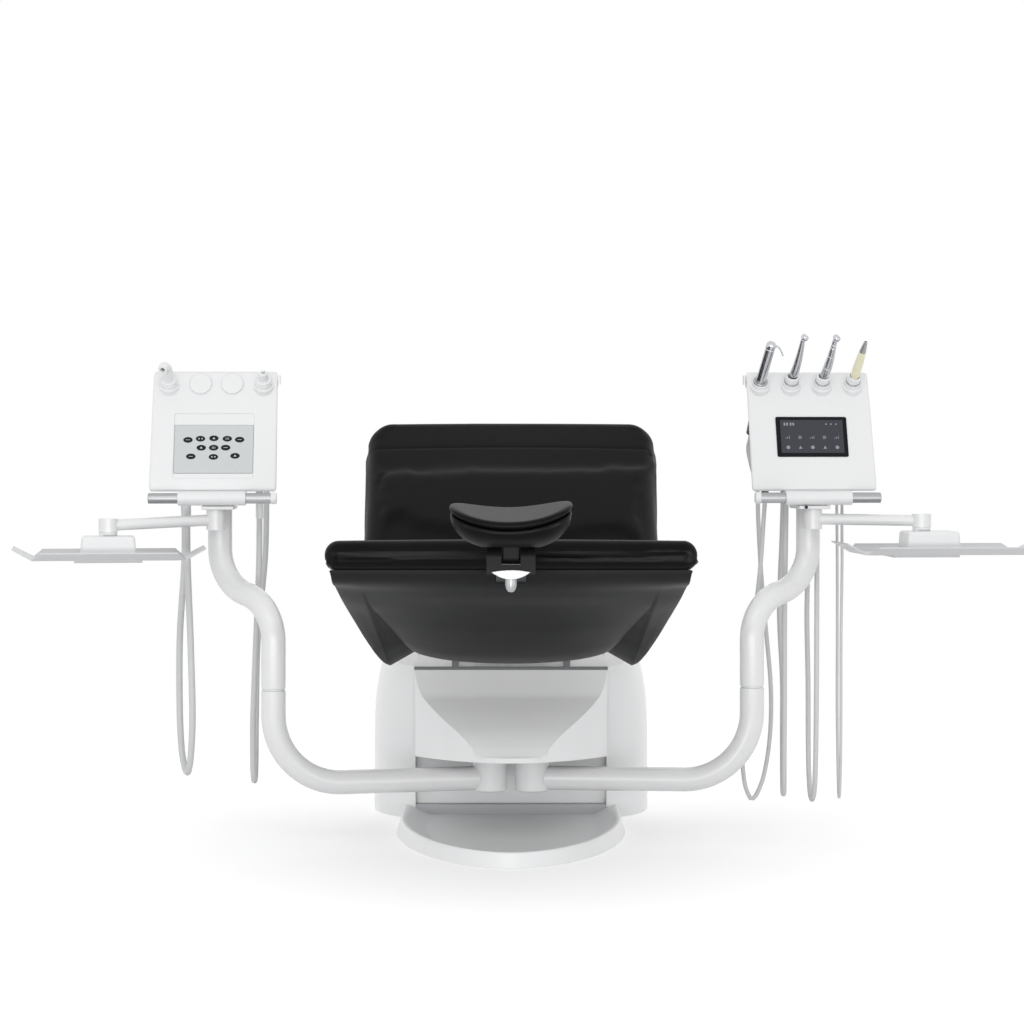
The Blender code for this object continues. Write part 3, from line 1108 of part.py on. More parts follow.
def console_point(shares):
    """Depth and height of a point given as shares of the console's side outline."""
    return (CONSOLE_FRONT_Y + CONSOLE_DEPTH * shares[0], CONSOLE_BOTTOM_Z + CONSOLE_HEIGHT * shares[1])


def face_matrix(low_shares, high_shares, share, lift, x=0.0):
    """Frame on the sloped face: X right, Y up the slope, Z out of the face."""
    low = Vector((0.0, *console_point(low_shares)))
    high = Vector((0.0, *console_point(high_shares)))
    up = (high - low).normalized()
    out = Vector((1.0, 0.0, 0.0)).cross(up)
    place = low.lerp(high, share) + out * lift + Vector((x, 0.0, 0.0))
    frame = Matrix((Vector((1.0, 0.0, 0.0)), up, out)).transposed().to_4x4()
    return Matrix.Translation(place) @ frame


def face_slab(name, low_shares, high_shares, share, size, x=0.0, finish=None, parent=None):
    """Slab on the sloped face; size is width, height, and lowest and highest level."""
    matrix = face_matrix(low_shares, high_shares, share, 0.0, x)
    rings = []
    for level in size[2:]:
        rings.append([tuple(matrix @ Vector((a * size[0] / 2, b * size[1] / 2, level)))
                      for a, b in ((-1, -1), (1, -1), (1, 1), (-1, 1))])
    return loft(name, rings, finish, parent)


def holder_axis(side, sign):
    lean = HOLDER_SIDE_LEAN[side]
    return Vector((math.sin(lean), -math.sin(HOLDER_LEAN) * math.cos(lean),
                   math.cos(HOLDER_LEAN) * math.cos(lean)))


def holder_place(side, index):
    y, z = console_point((blend(FACE_MIDDLE_SHARES[0], FACE_HIGH_SHARES[0], HOLDER_FACE_SHARE),
                          blend(FACE_MIDDLE_SHARES[1], FACE_HIGH_SHARES[1], HOLDER_FACE_SHARE)))
    return Vector((HOLDER_FIRST[side] + HOLDER_PITCH * index, y, z))


def build_console(side, sign, post, holders):
    swivel_parent = post
    post = make_empty("console_frame_" + side, (CONSOLE_SHIFT[side], 0.0, 0.0), 0.0, post)
    outline = [console_point(share) for share in
               ((0.0, 0.0), FACE_LOW_SHARES, FACE_MIDDLE_SHARES, FACE_HIGH_SHARES) + CONSOLE_BACK_SHARES]
    body = prism("console_body_" + side, outline, -CONSOLE_HALF_WIDTH, CONSOLE_HALF_WIDTH, "x",
                 "white_shell", post)
    for vertex in body.data.vertices:
        share = (vertex.co.z - CONSOLE_BOTTOM_Z) / CONSOLE_HEIGHT
        vertex.co.x *= blend(1.0, CONSOLE_TOP_TAPER_SHARE, share)
        depth_share = (vertex.co.y - CONSOLE_FRONT_Y) / CONSOLE_DEPTH
        behind_face = max(depth_share - share * FACE_HIGH_SHARES[0], 0.0)
        vertex.co.x *= blend(1.0, CONSOLE_BACK_TAPER_SHARE, behind_face)
    round_edges(body, CONSOLE_EDGE, 2, math.radians(60.0))
    axis = holder_axis(side, sign)
    for index in holders:
        place = holder_place(side, index)
        boss = cylinder("boss_%s_%d" % (side, index), BOSS_RADIUS, place - axis * BOSS_RADIUS,
                        place + axis * BOSS_HEIGHT, SMALL_SIDES + 4, None, post)
        combine(body, boss, "UNION")
    for index in holders:
        place = holder_place(side, index)
        bore = cylinder("bore_%s_%d" % (side, index), HOLDER_BORE_RADIUS, place - axis * 2 * TAIL_LENGTH,
                        place + axis * (BOSS_HEIGHT + CUT_OVERRUN), SMALL_SIDES, None, post)
        combine(body, bore, "DIFFERENCE")

    if side == "left":
        size = (KEYPAD_WIDTH, KEYPAD_HEIGHT, KEYPAD_THICKNESS)
        share = KEYPAD_CENTRE_SHARE
        name, finish = "keypad", "grey_foil"
    else:
        size = (DISPLAY_WIDTH, DISPLAY_HEIGHT, DISPLAY_THICKNESS)
        share = DISPLAY_CENTRE_SHARE
        name, finish = "display", "display_glass"
    low, high = FACE_LOW_SHARES, FACE_MIDDLE_SHARES
    shift = DISPLAY_OFFSET[side]
    recess = face_slab(name + "_recess", low, high, share,
                       (size[0] + 2 * RUN_CLEARANCE, size[1] + 2 * RUN_CLEARANCE, -PANEL_RECESS,
                        CUT_OVERRUN), shift, None, post)
    combine(body, recess, "DIFFERENCE")
    face_slab(name, low, high, share, (size[0], size[1], GAP - PANEL_RECESS,
                                       size[2] - PANEL_RECESS), shift, finish, post)

    # Swivel block between the console and the arm's post
    top = CONSOLE_BOTTOM_Z - GAP
    low_z = top - SWIVEL_HEIGHT + GAP
    shelf = BAR_Z - CLAMP_RADIUS - RUN_CLEARANCE
    front = CONSOLE_FRONT_Y + CLAMP_WEB + RUN_CLEARANCE
    outline = [(-SWIVEL_FRONT, low_z), (SWIVEL_REAR, low_z), (SWIVEL_REAR, top), (front, top),
               (front, shelf), (-SWIVEL_FRONT, shelf)]
    swivel = prism("console_swivel_" + side, outline, -SWIVEL_HALF_WIDTH, SWIVEL_HALF_WIDTH, "x",
                   "white_plastic", swivel_parent)
    round_edges(swivel, SWIVEL_HALF_WIDTH / 16, 2)
    socket = cylinder("post_socket_" + side, TUBE_RADIUS + RUN_CLEARANCE / 2, (0, 0, low_z - CUT_OVERRUN),
                      (0, 0, POST_TOP_Z + POST_SOCKET_DEPTH), ROUND_SIDES, None, swivel_parent)
    combine(swivel, socket, "DIFFERENCE")

    # Handle bar, held by a clamp that hangs from the console's front edge
    shift = BAR_SHIFT[side]
    ends = ((shift - BAR_HALF_LENGTH, BAR_Y, BAR_Z), (shift + BAR_HALF_LENGTH, BAR_Y, BAR_Z))
    cylinder("handle_bar_" + side, BAR_RADIUS, *ends, ROUND_SIDES, "satin_metal", post)
    span = (shift - CLAMP_HALF_WIDTH, shift + CLAMP_HALF_WIDTH)
    clamp = cylinder("bar_clamp_" + side, CLAMP_RADIUS, (span[0], BAR_Y, BAR_Z), (span[1], BAR_Y, BAR_Z),
                     ROUND_SIDES, "white_shell", post)
    web = box("clamp_web_" + side, span, (BAR_Y, CONSOLE_FRONT_Y + CLAMP_WEB), (BAR_Z, top), None, post)
    combine(clamp, web, "UNION")
    hole = cylinder("clamp_bore_" + side, BAR_RADIUS + GAP, *ends, ROUND_SIDES, None, post)
    combine(clamp, hole, "DIFFERENCE")
    return post


def build_caps(post):
    for number, index in enumerate((1, 2), start=1):
        place = holder_place("left", index)
        matrix = face_matrix(FACE_MIDDLE_SHARES, FACE_HIGH_SHARES, CAP_FACE_SHARE, GAP, place.x)
        out = matrix.to_3x3() @ Vector((0, 0, 1))
        turned("blank_cap_%d" % number,
               [(CAP_RADIUS, 0.0), (CAP_RADIUS, CAP_HEIGHT / 2), (CAP_RADIUS * 0.93, CAP_HEIGHT)],
               ROUND_SIDES, "white_shell", post, matrix.translation, out)


def instrument_root(name, side, index, sign, profile, finish, post):
    """Tail, flange and handle of one instrument as one turned solid along its holder's axis."""
    place = holder_place(side, index)
    axis = holder_axis(side, sign)
    seat = BOSS_HEIGHT + GAP
    rings = [(TAIL_RADIUS, -TAIL_LENGTH), (TAIL_RADIUS, seat),
             (INSTRUMENT_FLANGE_RADIUS, seat), (INSTRUMENT_FLANGE_RADIUS, seat + INSTRUMENT_FLANGE_HEIGHT)]
    rings += [(radius, seat + INSTRUMENT_FLANGE_HEIGHT + height) for radius, height in profile]
    return turned(name, rings, SMALL_SIDES, finish, post, place, axis)


def along_holder(side, index, sign, height, side_step=0.0, front_step=0.0):
    """A point above the holder, stepped square to its axis."""
    axis = holder_axis(side, sign)
    right = Vector((0, 1, 0)).cross(axis).normalized()
    front = right.cross(axis).normalized()
    base = holder_place(side, index) + axis * (BOSS_HEIGHT + GAP + INSTRUMENT_FLANGE_HEIGHT + height)
    return base + right * side_step + front * front_step


def build_right_instruments(post):
    sign = 1
    syringe = instrument_root("syringe", "right", 0, sign, SYRINGE_PROFILE, "bright_steel", post)
    tip = [along_holder("right", 0, sign, height, step) for step, height in SYRINGE_TIP]
    combine(syringe, sweep("syringe_tip", tip, SYRINGE_TIP_RADIUS, 8, None, post), "UNION")
    for name, index, profile in (("turbine_handpiece", 1, TURBINE_PROFILE),
                                 ("angle_handpiece", 2, ANGLE_PROFILE)):
        piece = instrument_root(name, "right", index, sign, profile, "bright_steel", post)
        low = along_holder("right", index, sign, DRILL_HEAD_PLACE, 0.0, -DRILL_HEAD_HEIGHT / 2)
        high = along_holder("right", index, sign, DRILL_HEAD_PLACE, 0.0, DRILL_HEAD_HEIGHT / 2)
        head = cylinder(name + "_head", DRILL_HEAD_RADIUS, low, high, SMALL_SIDES, None, post)
        combine(piece, head, "UNION")
    instrument_root("scaler_handpiece", "right", 3, sign, SCALER_PROFILE, "cream_plastic", post)


def build_left_instruments(post):
    sign = -1
    nozzle = instrument_root("suction_nozzle", "left", 0, sign, ((NOZZLE_RADIUS, 0.0),
                             (NOZZLE_RADIUS, NOZZLE_PATH[1][2] / 2)), "white_plastic", post)
    path = [along_holder("left", 0, sign, height, step, front) for step, front, height in NOZZLE_PATH]
    neck = sweep("nozzle_neck", path, NOZZLE_RADIUS * NOZZLE_NECK_SHARE, SMALL_SIDES, None, post)
    combine(nozzle, neck, "UNION")
    mouth = (path[-1] - path[-2]).normalized()
    bore = cylinder("nozzle_bore", NOZZLE_BORE_RADIUS, path[-1] - mouth * NOZZLE_RADIUS,
                    path[-1] + mouth * CUT_OVERRUN, SMALL_SIDES, None, post)
    combine(nozzle, bore, "DIFFERENCE")
    ejector = instrument_root("ejector_nozzle", "left", 3, sign, EJECTOR_PROFILE, "white_plastic", post)
    top = EJECTOR_PROFILE[-1][1]
    bore = cylinder("ejector_bore", EJECTOR_BORE_RADIUS,
                    along_holder("left", 3, sign, top - EJECTOR_BORE_DEPTH),
                    along_holder("left", 3, sign, top + CUT_OVERRUN), SMALL_SIDES, None, post)
    combine(ejector, bore, "DIFFERENCE")


# Trays

def build_tray(side, sign, post):
    low_z = CONSOLE_BOTTOM_Z - GAP - SWIVEL_HEIGHT
    pivot = make_empty("tray_arm_axis_" + side, (-PIVOT_SIDE[side], -PIVOT_FRONT, 0.0),
                       TRAY_ARM_TURN[side] - CONSOLE_TURN[side], post)
    arm = cylinder("tray_arm_" + side, PIVOT_RADIUS, (0, 0, low_z - PIVOT_HEIGHT), (0, 0, low_z),
                   ROUND_SIDES, "white_paint", pivot)
    tube_z = low_z - PIVOT_HEIGHT / 2
    end_x = sign * TRAY_ARM_LENGTH
    end_z = tube_z - TRAY_ARM_DROP[side]
    tube = cylinder("tray_tube_" + side, TRAY_ARM_RADIUS, (0.0, 0.0, tube_z), (end_x, 0.0, end_z),
                    ROUND_SIDES, None, pivot)
    combine(arm, tube, "UNION")
    neck_top = end_z - TRAY_ARM_RADIUS - TRAY_ARM_WALL
    cap = cylinder("tray_arm_end_" + side, NECK_RADIUS, (end_x, 0.0, neck_top),
                   (end_x, 0.0, end_z + TRAY_ARM_RADIUS + TRAY_ARM_WALL), ROUND_SIDES, None, pivot)
    combine(arm, cap, "UNION")

    neck = make_empty("tray_axis_" + side, (end_x, 0.0, 0.0), TRAY_TURN[side] - TRAY_ARM_TURN[side], pivot)
    block_top = neck_top - GAP - NECK_HEIGHT
    width, depth = BLOCK_HALF_WIDTH, BLOCK_HALF_DEPTH
    rings = []
    for level, scale in ((block_top - BLOCK_HEIGHT, 1.0), (block_top, BLOCK_TAPER_SHARE)):
        rings.append([(BLOCK_SHIFT[side] + a * width * scale, b * depth * scale, level)
                      for a, b in ((-1, -1), (1, -1), (1, 1), (-1, 1))])
    block = loft("tray_block_" + side, rings, "white_plastic", neck)
    round_edges(block, BLOCK_HEIGHT / 8, 2)
    stem = cylinder("tray_neck_" + side, NECK_RADIUS * 0.94, (0, 0, block_top - BLOCK_HEIGHT / 2),
                    (0, 0, neck_top - GAP), ROUND_SIDES, None, neck)
    combine(block, stem, "UNION")
    build_tray_sheet(side, sign, neck, block_top - BLOCK_HEIGHT - GAP)


def build_tray_sheet(side, sign, parent, top):
    """Sheet tray with four flared flanges whose corners stay open, and a pad plate under it."""
    half_x = TRAY_HALF_WIDTH[side]
    half_y = TRAY_HALF_DEPTH
    shift = sign * TRAY_SHIFT[side]
    floor = top - TRAY_THICKNESS
    sheet = box("tray_" + side, (shift - half_x, shift + half_x), (-half_y, half_y), (floor, top),
                "tray_metal", parent)
    cut_x = TRAY_FLANGE_RUN * TRAY_CORNER_SHARE
    cut_y = TRAY_FLANGE_DEPTH_RUN * TRAY_CORNER_SHARE
    for axis, flange_sign in (("x", -1), ("x", 1), ("y", -1), ("y", 1)):
        rings = []
        for level in (0.0, TRAY_THICKNESS):
            if axis == "x":
                inner = flange_sign * (half_x - TRAY_THICKNESS / 2)
                outer = flange_sign * (half_x + TRAY_FLANGE_RUN)
                ring = [(shift + inner, -half_y, floor + level),
                        (shift + outer, -half_y + cut_y, floor + TRAY_END_RISE + level),
                        (shift + outer, half_y - cut_y, floor + TRAY_END_RISE + level),
                        (shift + inner, half_y, floor + level)]
            else:
                inner = flange_sign * (half_y - TRAY_THICKNESS / 2)
                outer = flange_sign * (half_y + TRAY_FLANGE_DEPTH_RUN)
                ring = [(shift - half_x, inner, floor + level),
                        (shift - half_x + cut_x, outer, floor + TRAY_FLANGE_RISE + level),
                        (shift + half_x - cut_x, outer, floor + TRAY_FLANGE_RISE + level),
                        (shift + half_x, inner, floor + level)]
            rings.append(ring)
        flange = loft("flange_%s_%s_%+d" % (side, axis, flange_sign), rings, None, parent)
        combine(sheet, flange, "UNION")
    plate = box("tray_plate_" + side, (-PLATE_UNDER_HALF_WIDTH, PLATE_UNDER_HALF_WIDTH),
                (-PLATE_UNDER_HALF_DEPTH, PLATE_UNDER_HALF_DEPTH),
                (floor - PLATE_UNDER_HEIGHT, floor + TRAY_THICKNESS / 2), None, parent)
    combine(sheet, plate, "UNION")


# Hoses

def smooth_route(points, spacing):
    """Even points on a smooth cubic curve through the route's own points."""
    route = [Vector(point) for point in points]
    padded = [route[0] * 2 - route[1]] + route + [route[-1] * 2 - route[-2]]
    dense = []
    for index in range(1, len(padded) - 2):
        p0, p1, p2, p3 = padded[index - 1:index + 3]
        for step in range(12):
            t = step / 12
            dense.append(0.5 * (2 * p1 + (p2 - p0) * t + (2 * p0 - 5 * p1 + 4 * p2 - p3) * t ** 2
                                + (3 * p1 - p0 - 3 * p2 + p3) * t ** 3))
    dense.append(route[-1])
    lengths = [0.0]
    for before, after in zip(dense, dense[1:]):
        lengths.append(lengths[-1] + (after - before).length)
    count = max(2, round(lengths[-1] / spacing))
    even = np.interp(np.linspace(0, lengths[-1], count + 1), lengths, np.arange(len(dense)))
    points = []
    for place in even:
        low = int(place)
        high = min(low + 1, len(dense) - 1)
        points.append(dense[low].lerp(dense[high], place - low))
    return points, lengths[-1]


def build_hose(name, diameter, route):
    points, length = smooth_route(route, max(diameter * HOSE_STEP_DIAMETERS, HOSE_LEAST_STEP))
    curve = bpy.data.curves.new(name, "CURVE")
    curve.dimensions = "3D"
    spline = curve.splines.new("POLY")
    spline.points.add(len(points) - 1)
    for target, point in zip(spline.points, points):
        target.co = (*point, 1.0)
    curve.bevel_depth = diameter / 2
    curve.bevel_resolution = round(HOSE_SIDES_LEVEL)
    curve.use_fill_caps = True
    hose = bpy.data.objects.new(name, curve)
    bpy.context.scene.collection.objects.link(hose)
    curve.materials.append(make_finish("grey_hose", name))
    print("%s: %d points, length %.3f m" % (name, len(points), length))


def build_dental_unit():
    clear_scene()
    build_base_plate()
    build_base_frame()
    build_lift()
    build_housing()
    build_apron()
    build_bracket()
    build_buffers()
    build_back()
    build_seat()
    build_seat_frame()
    build_leg_rest()
    build_headrest_bar()
    build_headrest()
    for side, sign in (("left", -1), ("right", 1)):
        post = build_arm(side, sign)
        console = build_console(side, sign, post, (0, 3) if side == "left" else (0, 1, 2, 3))
        if side == "left":
            build_caps(console)
            build_left_instruments(console)
        else:
            build_right_instruments(console)
        build_tray(side, sign, post)
    for name, (diameter, route) in HOSE_ROUTES.items():
        build_hose(name, diameter, route)


build_dental_unit()
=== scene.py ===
import bpy
import bmesh
import json
import math
import mathutils
import numpy as np
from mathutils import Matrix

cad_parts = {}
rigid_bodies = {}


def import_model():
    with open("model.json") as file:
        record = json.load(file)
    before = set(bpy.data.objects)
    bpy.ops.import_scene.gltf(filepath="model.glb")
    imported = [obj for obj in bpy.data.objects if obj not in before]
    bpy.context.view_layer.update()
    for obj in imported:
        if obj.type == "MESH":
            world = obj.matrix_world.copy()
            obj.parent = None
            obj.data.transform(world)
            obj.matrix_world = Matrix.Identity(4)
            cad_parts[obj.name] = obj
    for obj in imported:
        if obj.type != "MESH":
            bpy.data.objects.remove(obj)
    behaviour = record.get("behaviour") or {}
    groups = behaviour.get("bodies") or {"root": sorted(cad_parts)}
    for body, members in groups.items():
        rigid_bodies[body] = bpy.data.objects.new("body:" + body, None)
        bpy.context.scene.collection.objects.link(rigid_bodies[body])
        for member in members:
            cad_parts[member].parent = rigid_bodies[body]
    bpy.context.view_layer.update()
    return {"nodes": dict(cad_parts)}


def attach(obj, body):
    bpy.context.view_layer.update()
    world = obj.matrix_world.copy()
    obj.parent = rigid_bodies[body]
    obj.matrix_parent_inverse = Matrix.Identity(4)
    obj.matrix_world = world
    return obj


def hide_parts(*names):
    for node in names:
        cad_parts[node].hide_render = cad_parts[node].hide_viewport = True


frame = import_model()
nodes = frame["nodes"]
print("frame loaded:", len(nodes), "nodes")


def linked(name, data):
    # an object for the data, at the origin, in the scene
    item = bpy.data.objects.new(name, data)
    bpy.context.scene.collection.objects.link(item)
    return item


# Camera: level, straight on, with the picture's rise taken by the lens shift; focal is in pixels
cameraSpec = {"place": (0.0, -5.775, 0.8085), "focal": 2860.0, "picture": 1024, "sensor": 36.0,
              "shiftX": 1 / 1024, "shiftY": -0.0703, "clipEnd": 60.0}
cameraData = bpy.data.cameras.new("camera")
cameraData.sensor_width = cameraSpec["sensor"]
cameraData.lens = cameraSpec["focal"] / cameraSpec["picture"] * cameraSpec["sensor"]
cameraData.shift_x = cameraSpec["shiftX"]
cameraData.shift_y = cameraSpec["shiftY"]
cameraData.clip_end = cameraSpec["clipEnd"]
camera = linked("camera", cameraData)
camera.location = cameraSpec["place"]
camera.rotation_euler = (math.pi / 2, 0.0, 0.0)
bpy.context.scene.camera = camera
bpy.context.scene.view_settings.view_transform = "Standard"


# Shader node groups shared by several finishes, and the nodes they are made of

def newGroup(name, inputs, outputs):
    group = bpy.data.node_groups.new(name, "ShaderNodeTree")
    for label, kind, value in inputs:
        socket = group.interface.new_socket(label, in_out="INPUT", socket_type=kind)
        socket.default_value = value
    for label, kind in outputs:
        group.interface.new_socket(label, in_out="OUTPUT", socket_type=kind)
    start = group.nodes.new("NodeGroupInput")
    end = group.nodes.new("NodeGroupOutput")
    return group, start, end


def mathNode(tree, operation, first, second=None, third=None):
    node = tree.nodes.new("ShaderNodeMath")
    node.operation = operation
    for slot, value in enumerate((first, second, third)):
        if value is None:
            continue
        if isinstance(value, (int, float)):
            node.inputs[slot].default_value = value
        else:
            tree.links.new(value, node.inputs[slot])
    return node.outputs[0]


def makeFineGrain():
    # height = two layers of noise; blotch = slow noise for roughness drift
    group, start, end = newGroup("fineGrain", [("Scale", "NodeSocketFloat", 900.0)],
                                 [("Height", "NodeSocketFloat"), ("Blotch", "NodeSocketFloat")])
    place = group.nodes.new("ShaderNodeTexCoord")
    fine = group.nodes.new("ShaderNodeTexNoise")
    slow = group.nodes.new("ShaderNodeTexNoise")
    slow.inputs["Scale"].default_value = 7.0
    slow.inputs["Detail"].default_value = 3.0
    group.links.new(place.outputs["Object"], fine.inputs["Vector"])
    group.links.new(place.outputs["Object"], slow.inputs["Vector"])
    group.links.new(start.outputs["Scale"], fine.inputs["Scale"])
    group.links.new(fine.outputs["Fac"], end.inputs["Height"])
    group.links.new(slow.outputs["Fac"], end.inputs["Blotch"])
    return group


def makeHideGrain():
    # small closed cells with soft valleys, broken by finer creases
    group, start, end = newGroup("hideGrain", [("Scale", "NodeSocketFloat", 420.0)],
                                 [("Height", "NodeSocketFloat"), ("Crease", "NodeSocketFloat"),
                                  ("Blotch", "NodeSocketFloat")])
    place = group.nodes.new("ShaderNodeTexCoord")
    warp = group.nodes.new("ShaderNodeTexNoise")
    warp.inputs["Scale"].default_value = 60.0
    shift = group.nodes.new("ShaderNodeVectorMath")
    shift.operation = "MULTIPLY_ADD"
    shift.inputs[1].default_value = (0.004, 0.004, 0.004)
    group.links.new(place.outputs["Object"], warp.inputs["Vector"])
    group.links.new(warp.outputs["Color"], shift.inputs[0])
    group.links.new(place.outputs["Object"], shift.inputs[2])
    cells = group.nodes.new("ShaderNodeTexVoronoi")
    cells.feature = "DISTANCE_TO_EDGE"
    group.links.new(shift.outputs[0], cells.inputs["Vector"])
    group.links.new(start.outputs["Scale"], cells.inputs["Scale"])
    ramp = group.nodes.new("ShaderNodeMapRange")
    ramp.interpolation_type = "SMOOTHSTEP"
    ramp.inputs["From Max"].default_value = 0.22
    group.links.new(cells.outputs["Distance"], ramp.inputs["Value"])
    slow = group.nodes.new("ShaderNodeTexNoise")
    slow.inputs["Scale"].default_value = 9.0
    slow.inputs["Detail"].default_value = 4.0
    group.links.new(place.outputs["Object"], slow.inputs["Vector"])
    low = mathNode(group, "MULTIPLY_ADD", slow.outputs["Fac"], 0.35, ramp.outputs["Result"])
    crease = mathNode(group, "SUBTRACT", 1.0, ramp.outputs["Result"])
    group.links.new(low, end.inputs["Height"])
    group.links.new(crease, end.inputs["Crease"])
    group.links.new(slow.outputs["Fac"], end.inputs["Blotch"])
    return group


def makeBrushing():
    # fine lines along X, for drawn and turned metal
    group, start, end = newGroup("brushing", [("Across", "NodeSocketFloat", 1400.0)],
                                 [("Height", "NodeSocketFloat")])
    place = group.nodes.new("ShaderNodeTexCoord")
    stretch = group.nodes.new("ShaderNodeMapping")
    stretch.inputs["Scale"].default_value = (0.02, 1.0, 1.0)
    lines = group.nodes.new("ShaderNodeTexNoise")
    lines.inputs["Detail"].default_value = 2.0
    group.links.new(place.outputs["Object"], stretch.inputs["Vector"])
    group.links.new(stretch.outputs[0], lines.inputs["Vector"])
    group.links.new(start.outputs["Across"], lines.inputs["Scale"])
    group.links.new(lines.outputs["Fac"], end.inputs["Height"])
    return group


fineGrain = makeFineGrain()
hideGrain = makeHideGrain()
brushing = makeBrushing()

finishSpec = {
    "whiteShell": {"slot": "white_shell", "colour": (0.77, 0.775, 0.78), "rough": 0.34, "coat": 0.10,
                   "grain": 1500.0, "bump": 0.00003, "drift": 0.05},
    # the base's copy of the white shell, its colour raised as painted light against the shade under the chair
    "baseWhitePaintedLight": {"slot": "white_shell", "colour": (0.88, 0.885, 0.89), "rough": 0.32, "coat": 0.15,
                  "grain": 1500.0, "bump": 0.00003, "drift": 0.05},
    "whitePaint": {"slot": "white_paint", "colour": (0.76, 0.763, 0.768), "rough": 0.26, "coat": 0.20,
                   "grain": 320.0, "bump": 0.00004, "drift": 0.05},
    "whitePlastic": {"slot": "white_plastic", "colour": (0.79, 0.795, 0.80), "rough": 0.36,
                     "grain": 1700.0, "bump": 0.00004, "drift": 0.06},
    "frameSteel": {"slot": "frame_steel", "colour": (0.50, 0.51, 0.53), "rough": 0.42,
                   "grain": 700.0, "bump": 0.00005, "drift": 0.08},
    "darkSteel": {"slot": "dark_steel", "colour": (0.010, 0.010, 0.011), "rough": 0.38,
                  "grain": 800.0, "bump": 0.00005, "drift": 0.10, "specular": 0.14},
    "blackShell": {"slot": "black_plastic", "colour": (0.0042, 0.0042, 0.0048), "rough": 0.40,
                   "grain": 1300.0, "bump": 0.00005, "drift": 0.08, "specular": 0.055},
    "trayCoat": {"slot": "tray_metal", "colour": (0.58, 0.585, 0.595), "rough": 0.34,
                 "grain": 900.0, "bump": 0.00004, "drift": 0.06},
    "greyFoil": {"slot": "grey_foil", "colour": (0.56, 0.58, 0.59), "rough": 0.45,
                 "grain": 2200.0, "bump": 0.00003, "drift": 0.04},
    "keyBlack": {"slot": "grey_foil", "colour": (0.012, 0.012, 0.014), "rough": 0.45,
                 "grain": 2200.0, "bump": 0.00002, "drift": 0.04, "specular": 0.15},
    "markPale": {"slot": "grey_foil", "colour": (0.62, 0.64, 0.66), "rough": 0.50,
                 "grain": 2200.0, "bump": 0.00002, "drift": 0.04},
    "creamPlastic": {"slot": "cream_plastic", "colour": (0.80, 0.77, 0.57), "rough": 0.32, "coat": 0.15,
                     "grain": 1400.0, "bump": 0.00003, "drift": 0.05},
    "greyRubber": {"slot": "grey_rubber", "colour": (0.16, 0.165, 0.17), "rough": 0.62,
                   "grain": 900.0, "bump": 0.00006, "drift": 0.08},
    "greyHose": {"slot": "grey_hose", "colour": (0.60, 0.605, 0.61), "rough": 0.40,
                 "grain": 500.0, "bump": 0.00005, "drift": 0.08},
}
metalSpec = {
    "brightSteel": {"slot": "bright_steel", "colour": (0.60, 0.61, 0.63), "rough": 0.20, "bump": 0.00003},
    "satinMetal": {"slot": "satin_metal", "colour": (0.42, 0.43, 0.44), "rough": 0.38, "bump": 0.00004},
}


def emptyMaterial(name):
    material = bpy.data.materials.new(name)
    material.use_nodes = True
    shader = material.node_tree.nodes["Principled BSDF"]
    return material, material.node_tree, shader


def addBump(tree, shader, height, distance):
    bump = tree.nodes.new("ShaderNodeBump")
    bump.inputs["Distance"].default_value = distance
    bump.inputs["Strength"].default_value = 1.0
    tree.links.new(height, bump.inputs["Height"])
    tree.links.new(bump.outputs["Normal"], shader.inputs["Normal"])


def groupNode(tree, group):
    node = tree.nodes.new("ShaderNodeGroup")
    node.node_tree = group
    return node


def driftColour(tree, shader, mask, dark, light):
    ramp = tree.nodes.new("ShaderNodeMix")
    ramp.data_type = "RGBA"
    ramp.inputs["A"].default_value = (*dark, 1.0)
    ramp.inputs["B"].default_value = (*light, 1.0)
    tree.links.new(mask, ramp.inputs["Factor"])
    tree.links.new(ramp.outputs["Result"], shader.inputs["Base Color"])


def mouldedFinish(name, spec):
    material, tree, shader = emptyMaterial(name)
    shader.inputs["Coat Weight"].default_value = spec.get("coat", 0.0)
    shader.inputs["Specular IOR Level"].default_value = spec.get("specular", 0.5)
    shader.inputs["Coat Roughness"].default_value = 0.12
    grain = groupNode(tree, fineGrain)
    grain.inputs["Scale"].default_value = spec["grain"]
    colour = np.array(spec["colour"])
    driftColour(tree, shader, grain.outputs["Blotch"], tuple(colour * 0.985), tuple(colour * 1.015))
    rough = mathNode(tree, "MULTIPLY_ADD", grain.outputs["Blotch"], spec["drift"],
                     spec["rough"] - spec["drift"] / 2)
    tree.links.new(rough, shader.inputs["Roughness"])
    addBump(tree, shader, grain.outputs["Height"], spec["bump"])
    return material


def metalFinish(name, spec):
    material, tree, shader = emptyMaterial(name)
    shader.inputs["Metallic"].default_value = 1.0
    lines = groupNode(tree, brushing)
    colour = np.array(spec["colour"])
    driftColour(tree, shader, lines.outputs["Height"], tuple(colour * 0.94), tuple(colour * 1.06))
    rough = mathNode(tree, "MULTIPLY_ADD", lines.outputs["Height"], 0.10, spec["rough"] - 0.05)
    tree.links.new(rough, shader.inputs["Roughness"])
    addBump(tree, shader, lines.outputs["Height"], spec["bump"])
    return material


def leatherFinish():
    material, tree, shader = emptyMaterial("blackLeather")
    shader.inputs["Specular IOR Level"].default_value = 0.055
    hide = groupNode(tree, hideGrain)
    driftColour(tree, shader, hide.outputs["Blotch"], (0.0028, 0.0028, 0.0032), (0.0044, 0.0044, 0.0050))
    rough = mathNode(tree, "MULTIPLY_ADD", hide.outputs["Crease"], 0.10, 0.36)
    tree.links.new(rough, shader.inputs["Roughness"])
    addBump(tree, shader, hide.outputs["Height"], 0.00007)
    return material


